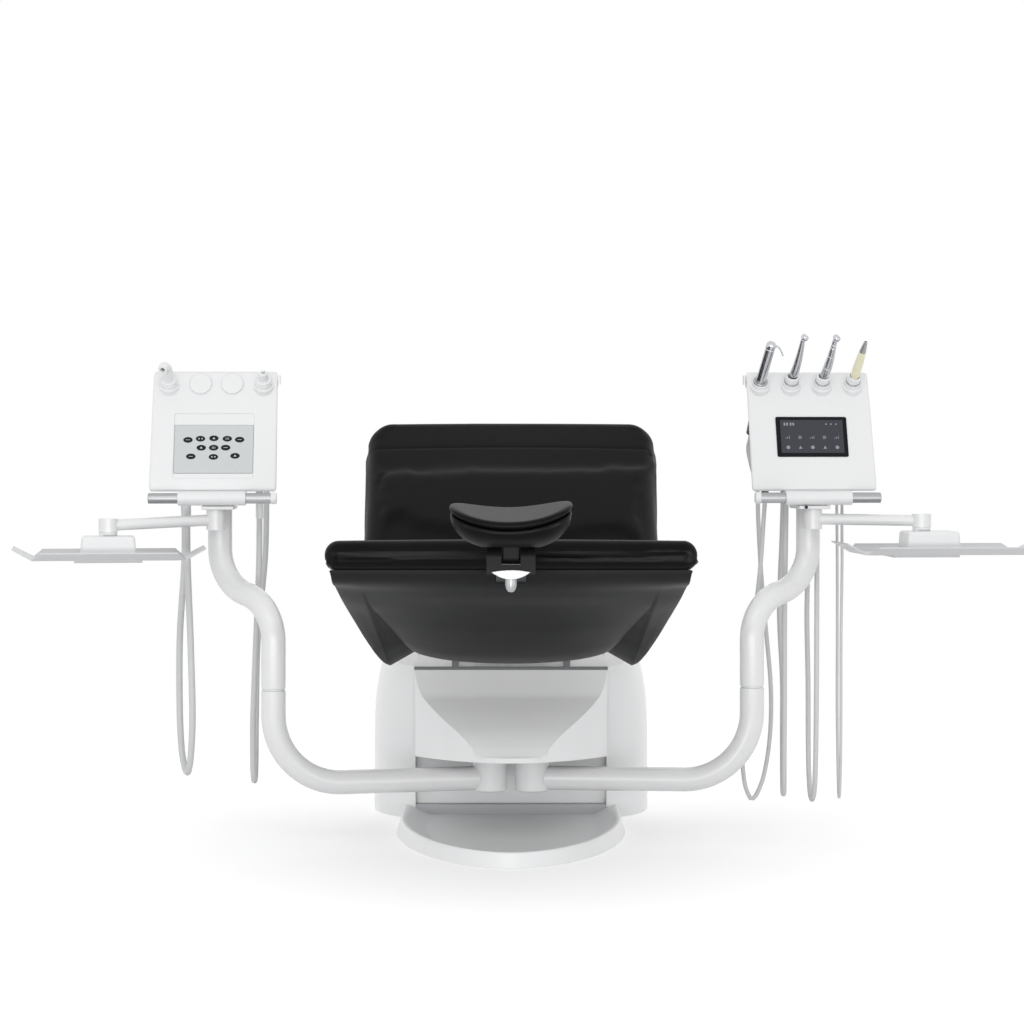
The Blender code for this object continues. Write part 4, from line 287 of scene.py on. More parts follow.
def glassFinish():
    material, tree, shader = emptyMaterial("displayGlass")
    shader.inputs["Specular IOR Level"].default_value = 0.12
    grain = groupNode(tree, fineGrain)
    driftColour(tree, shader, grain.outputs["Blotch"], (0.006, 0.0065, 0.008), (0.009, 0.0095, 0.012))
    rough = mathNode(tree, "MULTIPLY_ADD", grain.outputs["Blotch"], 0.04, 0.12)
    tree.links.new(rough, shader.inputs["Roughness"])
    return material


finishes = {name: mouldedFinish(name, spec) for name, spec in finishSpec.items()}
finishes.update({name: metalFinish(name, spec) for name, spec in metalSpec.items()})
finishes["blackLeather"] = leatherFinish()
finishes["displayGlass"] = glassFinish()
slots = {name: spec["slot"] for name, spec in {**finishSpec, **metalSpec}.items()}
slots.update({"blackLeather": "black_leather", "displayGlass": "display_glass"})
print("finishes made:", len(finishes))


# Surface kit: every piece is a set of point grids; angles are in degrees, merging distances in metres

kitSpec = {"sharp": 38.0, "round": 35.0, "merge": 0.00002, "mergeAfterCut": 0.00005, "flat": 0.05}


def rotationZ(turn):
    c, s = math.cos(turn), math.sin(turn)
    return np.array([[c, -s, 0, 0], [s, c, 0, 0], [0, 0, 1, 0], [0, 0, 0, 1.0]])


def shiftBy(x, y, z):
    matrix = np.eye(4)
    matrix[:3, 3] = (x, y, z)
    return matrix


def moved(points, matrix):
    return points @ matrix[:3, :3].T + matrix[:3, 3]


def gridFaces(rows, columns, closeRows=False, closeColumns=False, first=0):
    # quads between neighbouring rows and columns of a grid
    r = np.arange(rows if closeRows else rows - 1)
    c = np.arange(columns if closeColumns else columns - 1)
    r, c = np.meshgrid(r, c, indexing="ij")
    r2, c2 = (r + 1) % rows, (c + 1) % columns
    quads = np.stack([r * columns + c, r * columns + c2, r2 * columns + c2, r2 * columns + c], -1)
    return [tuple(int(i) + first for i in quad) for quad in quads.reshape(-1, 4)]


def ringSurface(rings, capStart=True, capEnd=True, closeRows=False):
    # rings: (rows, columns, 3); each row is a closed loop
    rows, columns = rings.shape[:2]
    faces = gridFaces(rows, columns, closeRows, True)
    if capStart and not closeRows:
        faces.append(tuple(range(columns)))
    if capEnd and not closeRows:
        faces.append(tuple(range((rows - 1) * columns, rows * columns)))
    return rings.reshape(-1, 3), faces


def tubeSurface(path, radii, sides=40):
    # circle of the given radius carried along the path, turned as little as possible
    path = np.asarray(path, float)
    radii = np.broadcast_to(np.asarray(radii, float), len(path))
    tangents = np.gradient(path, axis=0)
    tangents /= np.linalg.norm(tangents, axis=1)[:, None]
    side = np.cross(tangents[0], [0.31, 0.17, 0.93])
    frames = []
    for tangent in tangents:
        side = side - tangent * side.dot(tangent)
        side /= np.linalg.norm(side)
        frames.append((side, np.cross(tangent, side)))
    turns = np.linspace(0, math.tau, sides, endpoint=False)
    circle = np.stack([np.cos(turns), np.sin(turns)], 1)
    frames = np.array(frames)
    rings = path[:, None] + radii[:, None, None] * np.einsum("kc,pcx->pkx", circle, frames)
    return ringSurface(rings)


def frameAlong(axis):
    # square frame whose third column is the axis
    axis = np.asarray(axis, float) / np.linalg.norm(axis)
    side = np.cross([0.0, 1.0, 0.0], axis)
    if np.linalg.norm(side) < 1e-6:
        side = np.array([1.0, 0.0, 0.0])
    side /= np.linalg.norm(side)
    return np.stack([side, np.cross(axis, side), axis], 1)


def turnedSurface(profile, start=(0, 0, 0), axis=(0, 0, 1), sides=48, closed=False):
    # profile of radius and height pairs turned about the axis
    profile = np.asarray(profile, float)
    turns = np.linspace(0, math.tau, sides, endpoint=False)
    basis = frameAlong(axis)
    local = np.stack([profile[:, :1] * np.cos(turns), profile[:, :1] * np.sin(turns),
                      np.broadcast_to(profile[:, 1:], (len(profile), sides))], -1)
    rings = local @ basis.T + np.asarray(start, float)
    return ringSurface(rings, closeRows=closed)


def softened(profile, radius, steps=4):
    # an open polyline with each inner corner replaced by a small arc-like curve
    profile = np.asarray(profile, float)
    out = [profile[0]]
    for before, here, after in zip(profile[:-2], profile[1:-1], profile[2:]):
        inn, outw = before - here, after - here
        reach = min(radius, np.linalg.norm(inn) * 0.45, np.linalg.norm(outw) * 0.45)
        a = here + inn / np.linalg.norm(inn) * reach
        b = here + outw / np.linalg.norm(outw) * reach
        for t in np.linspace(0, 1, steps + 1):
            out.append((1 - t) ** 2 * a + 2 * t * (1 - t) * here + t ** 2 * b)
    out.append(profile[-1])
    return np.array(out)


def smoothCurve(points, spacing=None, count=None):
    # cubic curve through the points, sampled evenly along its length
    points = np.asarray(points, float)
    padded = np.vstack([points[:1] * 2 - points[1:2], points, points[-1:] * 2 - points[-2:-1]])
    t = np.linspace(0, 1, 12, endpoint=False)[:, None]
    dense = []
    for k in range(1, len(padded) - 2):
        p0, p1, p2, p3 = padded[k - 1:k + 3]
        dense.append(0.5 * (2 * p1 + (p2 - p0) * t + (2 * p0 - 5 * p1 + 4 * p2 - p3) * t ** 2
                            + (3 * p1 - p0 - 3 * p2 + p3) * t ** 3))
    dense = np.vstack(dense + [points[-1:]])
    lengths = np.concatenate([[0], np.cumsum(np.linalg.norm(np.diff(dense, axis=0), axis=1))])
    if count is None:
        count = max(2, round(lengths[-1] / spacing)) + 1
    even = np.linspace(0, lengths[-1], count)
    return np.stack([np.interp(even, lengths, dense[:, k]) for k in range(points.shape[1])], 1)


def boxSurface(low, high):
    # a square loop at the low level and one at the high level
    corners = np.array([[(x, y, z) for x, y in ((low[0], low[1]), (high[0], low[1]),
                                                (high[0], high[1]), (low[0], high[1]))]
                        for z in (low[2], high[2])])
    return ringSurface(corners)


def prismSurface(outline, low, high, axis):
    # a closed outline carried straight along one axis
    outline = np.asarray(outline, float)
    rings = []
    for level in (low, high):
        fill = np.full(len(outline), level)
        columns = {"x": (fill, outline[:, 0], outline[:, 1]), "y": (outline[:, 0], fill, outline[:, 1]),
                   "z": (outline[:, 0], outline[:, 1], fill)}[axis]
        rings.append(np.stack(columns, 1))
    return ringSurface(np.array(rings))


def meshOf(name, surfaces, matrix=None, bevel=0.0, bevelSegments=3, sharp=kitSpec["sharp"]):
    # one mesh from several surfaces, doubles merged, faces outwards, edges rounded
    points, faces, first = [], [], 0
    for surfacePoints, surfaceFaces in surfaces:
        points.append(surfacePoints)
        faces += [tuple(i + first for i in face) for face in surfaceFaces]
        first += len(surfacePoints)
    points = np.vstack(points)
    if matrix is not None:
        points = moved(points, matrix)
    mesh = bpy.data.meshes.new(name)
    mesh.from_pydata(points.tolist(), [], faces)
    shape = bmesh.new()
    shape.from_mesh(mesh)
    bmesh.ops.remove_doubles(shape, verts=shape.verts[:], dist=kitSpec["merge"])
    bmesh.ops.recalc_face_normals(shape, faces=shape.faces[:])
    if bevel:
        roundEdges(shape, bevel, bevelSegments)
    shape.to_mesh(mesh)
    shape.free()
    mesh.shade_smooth()
    mesh.set_sharp_from_angle(angle=math.radians(sharp))
    return linked(name, mesh)


def roundEdges(shape, width, segments, angle=kitSpec["round"]):
    # a bevel on each edge that turns by more than the angle
    edges = [e for e in shape.edges if len(e.link_faces) == 2
             and e.calc_face_angle(0.0) > math.radians(angle)]
    if edges:
        bmesh.ops.bevel(shape, geom=edges, offset=width, offset_type="OFFSET", segments=segments,
                        profile=0.5, affect="EDGES", clamp_overlap=True)


def dress(piece, finish, body, replaced=(), weighted=True):
    # finish, material slot, body and the solids that the piece stands for
    piece.data.materials.clear()
    piece.data.materials.append(finishes[finish])
    if weighted:
        normals = piece.modifiers.new("normals", "WEIGHTED_NORMAL")
        normals.keep_sharp = True
        normals.weight = 60
    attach(piece, body)
    if replaced:
        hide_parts(*replaced)
    return piece


def carve(piece, tools, operation="DIFFERENCE"):
    # exact boolean, applied to the mesh at once
    for tool in tools:
        modifier = piece.modifiers.new("cut", "BOOLEAN")
        modifier.operation = operation
        modifier.solver = "EXACT"
        modifier.object = tool
        graph = bpy.context.evaluated_depsgraph_get()
        result = bpy.data.meshes.new_from_object(piece.evaluated_get(graph))
        piece.modifiers.clear()
        piece.data = result
        bpy.data.objects.remove(tool, do_unlink=True)
    return piece


def roundedAfterCut(piece, width, segments=2, angle=kitSpec["round"], sharp=kitSpec["sharp"]):
    # flat neighbours dissolved into one face, then the edges rounded
    shape = bmesh.new()
    shape.from_mesh(piece.data)
    bmesh.ops.remove_doubles(shape, verts=shape.verts[:], dist=kitSpec["mergeAfterCut"])
    bmesh.ops.dissolve_limit(shape, angle_limit=math.radians(kitSpec["flat"]), verts=shape.verts[:],
                             edges=shape.edges[:])
    if width:
        roundEdges(shape, width, segments, angle)
    shape.to_mesh(piece.data)
    shape.free()
    piece.data.shade_smooth()
    piece.data.set_sharp_from_angle(angle=math.radians(sharp))
    return piece


def refined(node, finish, body, edge=0.0012, segments=2, angle=kitSpec["round"], sharp=kitSpec["sharp"]):
    # a merged copy of a rigid node, its edges rounded over
    piece = linked(node + ".fine", nodes[node].data.copy())
    roundedAfterCut(piece, edge, segments, angle, sharp)
    return dress(piece, finish, body, (node,))


def blend(low, high, share):
    return low + (high - low) * share


# Chair pads

padSpec = {
    "back": {"start": (-0.795, 0.641), "end": (-0.125, 0.535), "widths": (0.3325, 0.300), "thick": 0.056,
             "corner": 0.034, "seams": ()},
    "seat": {"start": (-0.085, 0.528), "end": (0.405, 0.859), "widths": (0.305, 0.313), "thick": 0.062,
             "corner": 0.075, "seams": (0.80,)},
    "leg": {"start": (0.452, 0.851), "end": (0.880, 0.765), "widths": (0.285, 0.255), "thick": 0.056,
            "corner": 0.090, "seams": ()},
    "crown": 0.0065, "drawIn": 0.005, "gather": 0.12, "lip": 0.0006, "gap": 0.0003, "fill": 0.95,
    "rows": 92, "topPoints": 61, "arcPoints": 15, "endPoints": 9,
    "seamDepth": 0.0008, "seamHalf": 0.0045, "seamRows": (-0.006, -0.003, 0.0, 0.003, 0.006),
}
clothSpec = {"cap": 0.0045, "pressure": 4.0, "heldFacing": -0.55, "frames": 16, "quality": 4, "mass": 0.4,
             "stretch": 25.0, "bend": 2.0}


def padFrame(spec):
    # direction along the pad, its upward normal, its length
    along = np.array([0.0, spec["end"][0] - spec["start"][0], spec["end"][1] - spec["start"][1]])
    length = np.linalg.norm(along)
    along /= length
    return along, np.cross([1.0, 0.0, 0.0], along), length


def padRings(spec):
    # section: flat top with a crown, half-round sides, flat bottom; its width follows the
    # rounded plan, its height follows a quarter circle near both ends
    along, normal, length = padFrame(spec)
    edge = spec["thick"] / 2
    even = np.linspace(0, 1, padSpec["rows"])
    places = np.sort(length * (even - padSpec["gather"] * np.sin(math.tau * even)))
    turns = np.linspace(0, math.pi / 2, padSpec["endPoints"])[:-1]
    ends = edge * (1 - np.cos(turns))
    inner = places[(places > edge) & (places < length - edge)]
    lips = [padSpec["lip"], length - padSpec["lip"]]
    places = np.unique(np.round(np.concatenate([ends[1:], length - ends[1:], inner, lips]), 6))
    near = np.minimum(places, length - places)
    swell = np.sin(math.pi * places / length)
    roll = np.sqrt(np.clip(1 - (1 - np.minimum(near / edge, 1)) ** 2, 0, 1))
    corner = spec["corner"]
    roundOff = corner - np.sqrt(np.clip(corner ** 2 - np.maximum(corner - near, 0) ** 2, 0, None))
    width = blend(spec["widths"][0], spec["widths"][1], places / length) - roundOff
    width = width - padSpec["drawIn"] * swell
    half = edge * roll
    flat = width - half
    crown = padSpec["crown"] * np.sqrt(np.clip(swell, 0, None))
    top = np.linspace(-1, 1, padSpec["topPoints"])
    arc = np.linspace(math.pi / 2, -math.pi / 2, padSpec["arcPoints"])[1:-1]
    xs = [flat[:, None] * top]
    zs = [half[:, None] + crown[:, None] * (1 - top ** 2)]
    xs.append(flat[:, None] + half[:, None] * np.cos(arc))
    zs.append(half[:, None] * np.sin(arc))
    xs.append(flat[:, None] * top[::-1])
    zs.append(np.repeat(-half[:, None], len(top), 1))
    xs.append(-flat[:, None] - half[:, None] * np.cos(arc[::-1]))
    zs.append(half[:, None] * np.sin(arc[::-1]))
    xs, zs = np.hstack(xs), np.hstack(zs)
    middle = np.array([0.0, *spec["start"]]) + places[:, None] * along - normal * edge
    return middle[:, None] + xs[..., None] * np.array([1.0, 0, 0]) + zs[..., None] * normal


def swollen(piece, normal):
    # cloth under inner pressure, its flat underside held; each point moves no further than the cap
    mesh = piece.data
    rest = np.empty(len(mesh.vertices) * 3)
    mesh.vertices.foreach_get("co", rest)
    rest = rest.reshape(-1, 3)
    facing = np.empty(len(mesh.vertices) * 3)
    mesh.vertex_normals.foreach_get("vector", facing)
    held = facing.reshape(-1, 3) @ normal < clothSpec["heldFacing"]
    group = piece.vertex_groups.new(name="held")
    group.add([int(i) for i in np.nonzero(held)[0]], 1.0, "REPLACE")
    cloth = piece.modifiers.new("swell", "CLOTH")
    settings = cloth.settings
    settings.quality = clothSpec["quality"]
    settings.mass = clothSpec["mass"]
    settings.tension_stiffness = clothSpec["stretch"]
    settings.compression_stiffness = clothSpec["stretch"]
    settings.bending_stiffness = clothSpec["bend"]
    settings.use_pressure = True
    settings.uniform_pressure_force = clothSpec["pressure"]
    settings.effector_weights.gravity = 0.0
    settings.vertex_group_mass = "held"
    cloth.point_cache.frame_start = 1
    cloth.point_cache.frame_end = clothSpec["frames"]
    scene = bpy.context.scene
    for step in range(1, clothSpec["frames"] + 1):
        scene.frame_set(step)
    graph = bpy.context.evaluated_depsgraph_get()
    settled = np.empty(len(rest) * 3)
    piece.evaluated_get(graph).data.vertices.foreach_get("co", settled)
    travel = settled.reshape(-1, 3) - rest
    far = np.linalg.norm(travel, axis=1)[:, None]
    cap = clothSpec["cap"]
    travel *= cap * np.tanh(far / cap) / np.maximum(far, 1e-9)
    piece.modifiers.clear()
    piece.vertex_groups.clear()
    scene.frame_set(1)
    mesh.vertices.foreach_set("co", (rest + travel).ravel())
    mesh.update()


def sewn(piece, spec):
    # the seam across dips by a bell curve of the distance to it, full on top and none below the middle
    along, normal, length = padFrame(spec)
    mesh = piece.data
    points = np.empty(len(mesh.vertices) * 3)
    mesh.vertices.foreach_get("co", points)
    points = points.reshape(-1, 3)
    place = (points - np.array([0.0, *spec["start"]])) @ along
    above = (points - np.array([0.0, *spec["start"]])) @ normal + spec["thick"] / 2
    for share in spec["seams"]:
        offset = place - length * share
        dip = np.exp(-(offset / padSpec["seamHalf"]) ** 2) * padSpec["seamDepth"]
        weight = np.clip(above / (spec["thick"] / 2), 0, 1)
        points -= normal * (dip * weight)[:, None]
    mesh.vertices.foreach_set("co", points.ravel())
    mesh.update()


def makePad(key, node, body):
    # rows are added beside each seam, so that its dip has points to move
    spec = padSpec[key]
    rings = padRings(spec)
    if spec["seams"]:
        along, normal, length = padFrame(spec)
        places = (rings[:, 0] - np.array([0.0, *spec["start"]])) @ along
        extra = [length * s + d for s in spec["seams"] for d in padSpec["seamRows"]]
        rows = np.sort(np.concatenate([places, extra]))
        rings = np.stack([np.stack([np.interp(rows, places, rings[:, c, k]) for k in range(3)], 1)
                          for c in range(rings.shape[1])], 1)
    piece = meshOf(node + ".upholstery", [ringSurface(rings)], sharp=180.0)
    swollen(piece, padFrame(spec)[1])
    sewn(piece, spec)
    dress(piece, "blackLeather", body, (node,), weighted=False)


makePad("back", "back_cushion", "backrest")
makePad("seat", "seat_cushion", "seat")
makePad("leg", "leg_cushion", "leg_rest")
print("pads made")


# Back shell: wings, hollow flanks and a round belly, all following the same stations

backShellSpec = {
    "headY": -0.778, "hipY": -0.135, "sideInset": 0.012, "wingHead": 0.0060, "wingLow": 0.364,
    "bellyHead": 0.0065, "bellyLow": 0.3675, "valleyIn": (0.006, 0.0540), "valleyUp": (0.0002, 0.0300),
    "stations": (0.0, 0.04, 0.16, 0.31, 0.45, 0.58, 0.71, 0.84, 0.94, 1.0),
    "wingDrops": (0.0, 0.07, 0.17, 0.32, 0.445, 0.575, 0.72, 0.87, 0.965, 1.0),
    "bellyDrops": (0.0, 0.065, 0.205, 0.338, 0.489, 0.640, 0.783, 0.908, 0.970, 1.0),
    "edge": (0.3156, 0.3150, 0.3130, 0.3075, 0.3005, 0.2905, 0.2780, 0.2620, 0.2480, 0.2390),
    "crease": (0.2690, 0.2685, 0.2665, 0.2635, 0.2600, 0.2550, 0.2490, 0.2430, 0.2400, 0.2386),
    "edgeUp": 0.0150, "rows": 84, "bellySteps": 64,
    "slot": {"half": 0.027, "rows": (-0.835, -0.500), "below": (0.0603, 0.0743)},
}


def eased(shares, knots, values):
    # monotone cubic through the knots
    knots, values = np.asarray(knots), np.asarray(values)
    slopes = np.gradient(values, knots)
    shares = np.clip(shares, knots[0], knots[-1])
    index = np.clip(np.searchsorted(knots, shares) - 1, 0, len(knots) - 2)
    width = knots[index + 1] - knots[index]
    t = (shares - knots[index]) / width
    return ((2 * t ** 3 - 3 * t ** 2 + 1) * values[index] + (t ** 3 - 2 * t ** 2 + t) * width * slopes[index]
            + (3 * t ** 2 - 2 * t ** 3) * values[index + 1] + (t ** 3 - t ** 2) * width * slopes[index + 1])


def undersideHeight(spec, y):
    # height of the straight plane just under a pad, at the place y
    slope = (spec["end"][1] - spec["start"][1]) / (spec["end"][0] - spec["start"][0])
    drop = (spec["thick"] + padSpec["gap"]) * math.hypot(1, slope)
    return spec["start"][1] + (y - spec["start"][0]) * slope - drop


def backShellRings():
    # section: outer edge, crease, hollow flank that deepens towards the hip, round belly
    s = backShellSpec
    share = np.linspace(0, 1, s["rows"])
    y = blend(s["headY"], s["hipY"], share)
    top = undersideHeight(padSpec["back"], y)
    crease = eased(share, s["stations"], s["crease"])
    creaseZ = blend(top[0] - s["wingHead"], s["wingLow"], eased(share, s["stations"], s["wingDrops"]))
    edge = eased(share, s["stations"], s["edge"])
    edgeZ = creaseZ + s["edgeUp"] * np.sin(math.pi * np.clip(share * 1.15 - 0.05, 0, 1)) * (1 - share)
    hollow = np.clip((share - 0.18) / 0.82, 0, 1) ** 1.6
    valley = crease - blend(*s["valleyIn"], hollow)
    valleyZ = creaseZ + blend(*s["valleyUp"], hollow)
    belly = blend(top[0] - s["bellyHead"], s["bellyLow"], eased(share, s["stations"], s["bellyDrops"]))
    power = blend(2.0, 1.0, np.clip(share / 0.75, 0, 1) ** 0.8)
    widths = np.minimum(blend(0.330, 0.300, share) - s["sideInset"], edge + 0.010 + 0.045 * share)
    turns = np.linspace(0, math.pi, s["bellySteps"])
    rings = []
    for k in range(s["rows"]):
        corner = np.array([widths[k], top[k] - 0.002])
        rim = np.array([edge[k], min(edgeZ[k], top[k] - 0.0035)])
        fold = np.array([crease[k], min(creaseZ[k], top[k] - 0.0045)])
        side = [(widths[k] - 0.003, top[k]), tuple(corner)]
        side += [tuple(blend(corner, rim, t) + (0.004 * math.sin(math.pi * t) * share[k], 0.0))
                 for t in (0.33, 0.66)]
        side += [tuple(blend(corner, rim, 0.94)), tuple(blend(rim, fold, 0.10)), tuple(blend(rim, fold, 0.5)),
                 tuple(blend(rim, fold, 0.93)), tuple(fold - (0.0012, 0.0))]
        depth = valleyZ[k] - belly[k]
        arc = [(valley[k] * math.cos(t), valleyZ[k] - depth * math.sin(t) ** power[k]) for t in turns]
        middle = [tuple(blend(np.array(side[-1]), np.array(arc[0]), t)) for t in (0.35, 0.7)]
        right = side + middle
        left = [(-a, b) for a, b in reversed(right)]
        rings.append([(a, y[k], b) for a, b in [(0.0, top[k])] + right + arc + left])
    return np.array(rings)


piece = meshOf("back_shell.skin", [ringSurface(backShellRings())], sharp=52.0)
slot = backShellSpec["slot"]
channel = [(y, undersideHeight(padSpec["back"], y) + (0.0563 - below) * 1.0124)
           for y, below in zip((*slot["rows"], *slot["rows"][::-1]), np.repeat(slot["below"], 2))]
carve(piece, [meshOf("slot.tool", [prismSurface(channel, -slot["half"], slot["half"], "x")])])
roundedAfterCut(piece, 0.0, sharp=52.0)
dress(piece, "blackShell", "backrest", ("back_shell",), weighted=False)
refined("seat_shell", "blackShell", "seat", 0.004, 3)
refined("leg_shell", "blackShell", "leg_rest", 0.004, 3)
refined("seat_frame", "darkSteel", "seat", 0.0015)
refined("hip_axle", "brightSteel", "seat", 0.0008)
refined("knee_axle", "brightSteel", "seat", 0.0008)
print("chair shells made")


# Headrest: saddle-shaped pad on a dish-shaped shell

headSpec = {"half": 0.103, "depth": 0.150, "farY": -0.915, "middleZ": 0.684, "saddle": 0.0205, "slope": 0.16,
            "thick": 0.0135, "clear": 0.0006, "roll": 0.018, "seamRise": 0.012, "seamShare": 0.985,
            "footShare": 0.52, "bottomZ": 0.631, "power": 2.5, "sides": 120, "fill": 0.9}


def saddleRing(scale, drop):
    # superellipse in plan, lifted by the saddle's square law and its slope
    s = headSpec
    turns = np.linspace(0, math.tau, s["sides"], endpoint=False)
    c, d = np.cos(turns), np.sin(turns)
    x = np.sign(c) * np.abs(c) ** (2 / s["power"]) * s["half"] * scale
    y = np.sign(d) * np.abs(d) ** (2 / s["power"]) * s["depth"] / 2 * scale
    z = s["middleZ"] + s["saddle"] * (x / s["half"]) ** 2 + s["slope"] * y + s["roll"] * x - drop
    return np.stack([x, s["farY"] - s["depth"] / 2 + y, z], 1)


def headPadRings():
    # saddle rings from the middle out, round the rim by a quarter circle, and back in underneath
    s = headSpec
    rim = np.linspace(0.1, 1, 12) * math.pi / 2
    scales = np.concatenate([np.linspace(0.02, 0.86, 16), 0.86 + 0.14 * np.sin(rim)])
    drops = np.concatenate([np.zeros(16), s["thick"] / 2 * (1 - np.cos(rim))])
    low = [(0.985, 0.68), (0.95, 0.86), (0.90, 0.97), (0.84, 1.0), (0.5, 1.0), (0.1, 1.0)]
    scales = np.concatenate([scales, [a for a, b in low]])
    drops = np.concatenate([drops, [s["thick"] * b for a, b in low]])
    return np.array([saddleRing(a, b) for a, b in zip(scales, drops)])


pad = meshOf("headrest_pad.upholstery", [ringSurface(headPadRings())], sharp=180.0)
dress(pad, "blackLeather", "headrest", ("headrest_pad",), weighted=False)


def headShellRings():
    # saddle rings under the pad's seam that shrink by a root law and flatten to the foot
    s = headSpec
    seam = s["thick"] + s["clear"]
    rings = [saddleRing(scale, seam) for scale in (0.02, 0.45, 0.84, 0.90)]
    for scale, extra in ((0.962, 0.0003), (0.978, 0.0012)):
        rings.append(saddleRing(scale, seam + extra))
    for share in np.linspace(0.03, 1.0, 22):
        scale = math.sqrt(blend(s["seamShare"] ** 2, s["footShare"] ** 2, share ** 2))
        ring = saddleRing(scale, seam + s["seamRise"] / 4)
        ring[:, 2] = blend(ring[:, 2], s["bottomZ"], share)
        rings.append(ring)
    for scale in (0.505, 0.47, 0.34, 0.17, 0.02):
        ring = saddleRing(scale, seam)
        ring[:, 2] = s["bottomZ"] - 0.0008
        rings.append(ring)
    return np.array(rings)


tongueSpec = {"pinY": -0.970, "pinZ": 0.612, "radius": 0.0102, "top": 0.637, "half": 0.0135, "steps": 25}
pinY, pinZ, r = tongueSpec["pinY"], tongueSpec["pinZ"], tongueSpec["radius"]
tongue = [(pinY + r * math.cos(t), pinZ + r * math.sin(t))
          for t in np.linspace(-math.pi, 0, tongueSpec["steps"])]
tongue += [(pinY + r, tongueSpec["top"]), (pinY - r, tongueSpec["top"])]
shell = meshOf("headrest_shell.skin", [ringSurface(headShellRings())], sharp=60.0)
dress(shell, "blackShell", "headrest", ("headrest_shell",), weighted=False)
neck = meshOf("headrest_tongue", [prismSurface(tongue, -tongueSpec["half"], tongueSpec["half"], "x")],
              bevel=0.0012)
dress(neck, "darkSteel", "headrest")
refined("headrest_bar", "darkSteel", "headrest_slider", 0.0014, 3)

crescentSpec = {"half": 0.033, "height": 0.016, "thick": 0.004, "front": -0.9885, "middle": 0.5830}
share = np.linspace(1, -1, 41)
upper = np.stack([crescentSpec["half"] * share, crescentSpec["middle"]
                  + crescentSpec["height"] * (0.5 - 0.22 * share ** 2)], 1)
lower = np.stack([crescentSpec["half"] * -share[1:-1], crescentSpec["middle"]
                  + crescentSpec["height"] * (0.28 - 0.78 * (1 - share[1:-1] ** 2))], 1)
near, far = crescentSpec["front"] - crescentSpec["thick"], crescentSpec["front"]
crescent = meshOf("crescent_plate", [prismSurface(np.vstack([upper, lower]), near, far, "y")], bevel=0.0012)
dress(crescent, "satinMetal", "headrest_slider", ("headrest_crescent",))

# the knob's profile, in shares of its radius and height, turned with a cosine wave for the flutes
knobSpec = {"radius": 0.0098, "height": 0.024, "place": (0.0, -0.9790, 0.5770), "flutes": 14,
            "flute": 0.0005, "fluted": (0.06, 0.55), "sides": 112, "soft": 0.10,
            "profile": ((0.05, 0.0), (0.60, 0.0), (1.0, 0.03), (1.0, 0.48), (0.80, 0.78), (0.45, 0.97),
                        (0.04, 1.0))}
turns = np.linspace(0, math.tau, knobSpec["sides"], endpoint=False)
profile = softened(knobSpec["profile"], knobSpec["soft"])
rings = []
for radius, depth in profile:
    wave = knobSpec["flute"] * (0.5 - 0.5 * np.cos(knobSpec["flutes"] * turns))
    r = knobSpec["radius"] * radius - wave * (knobSpec["fluted"][0] < depth < knobSpec["fluted"][1])
    level = np.full(knobSpec["sides"], -knobSpec["height"] * depth)
    rings.append(np.stack([r * np.cos(turns), r * np.sin(turns), level], 1) + knobSpec["place"])
knob = meshOf("clamp_knob_grip", [ringSurface(np.array(rings))], sharp=50.0)
dress(knob, "satinMetal", "clamp_knob", ("headrest_knob",), weighted=False)
print("headrest made")


# Base

baseSpec = {"plate": {"half": 0.236, "widest": 0.143, "reach": 0.530, "rear": 0.338, "height": 0.030,
                      "power": 1.85, "steps": 96},
            "housing": {"half": 0.302, "front": 0.310, "rear": 0.900, "power": 3.2, "frontTop": 0.318,
                        "rearTop": 0.372, "inset": 0.030, "wall": 0.008, "slotHalf": 0.204,
                        "slotFront": 0.290, "slotRear": 0.640, "slotTop": 0.40, "steps": 144,
                        "risesAt": (0.0, 0.5, 0.78, 0.93, 1.0), "drawsIn": (0.0, 0.02, 0.22, 0.60, 1.0)},
            "apron": {"half": 0.197, "front": -0.130, "bulge": 0.137, "rear": 0.358, "low": 0.170,
                      "top": 0.350, "wall": 0.008, "steps": 56, "scoop": 0.137, "drop": 0.170,
                      "scoopSteps": 90, "notch": ((-0.101, 0.342, 0.15), (0.101, 0.378, 0.2253))},
            "below": 0.02, "toolHalf": 0.22}


def plateOutline(inset):
    # half a superellipse in front, straight sides behind it
    s = baseSpec["plate"]
    turns = np.linspace(0, math.pi, s["steps"])[1:-1]
    width, reach = s["half"] - inset, s["reach"] - inset
    front = np.stack([np.sign(np.cos(turns)) * width * np.abs(np.cos(turns)) ** (2 / s["power"]),
                      s["widest"] - reach * np.sin(turns) ** (2 / s["power"])], 1)
    side = np.linspace(s["rear"], s["widest"], 8)
    right = np.stack([np.full(8, width), side], 1)
    left = np.stack([np.full(8, -width), side[::-1]], 1)
    return np.vstack([right, front, left])


plateProfile = [(0.0010, 0.0), (0.0, 0.0015), (0.0095, 0.0265), (0.0108, 0.0292), (0.0128, 0.0300),
                (0.0180, 0.0298), (0.0205, 0.0288), (0.0260, 0.0262), (0.0520, 0.0135), (0.0580, 0.0108),
                (0.0650, 0.0094), (0.0750, 0.0090), (0.110, 0.0090), (0.170, 0.0090)]
rows = [np.column_stack([plateOutline(inset), np.full(len(plateOutline(inset)), z)])
        for inset, z in plateProfile]
last = rows[-1].copy()
last[:, 0] = 0.0
rows = np.array(rows + [last])
count = rows.shape[1]
faces = gridFaces(len(rows), count)
faces.append(tuple(range(count)))
rearEdge = [k * count for k in range(len(rows))]
rearEdge += [k * count + count - 1 for k in range(len(rows) - 2, -1, -1)]
faces.append(tuple(rearEdge))
plate = meshOf("foot_dish", [(rows.reshape(-1, 3), faces)], sharp=48.0)
dress(plate, "baseWhitePaintedLight", "base", ("base_plate",), weighted=False)


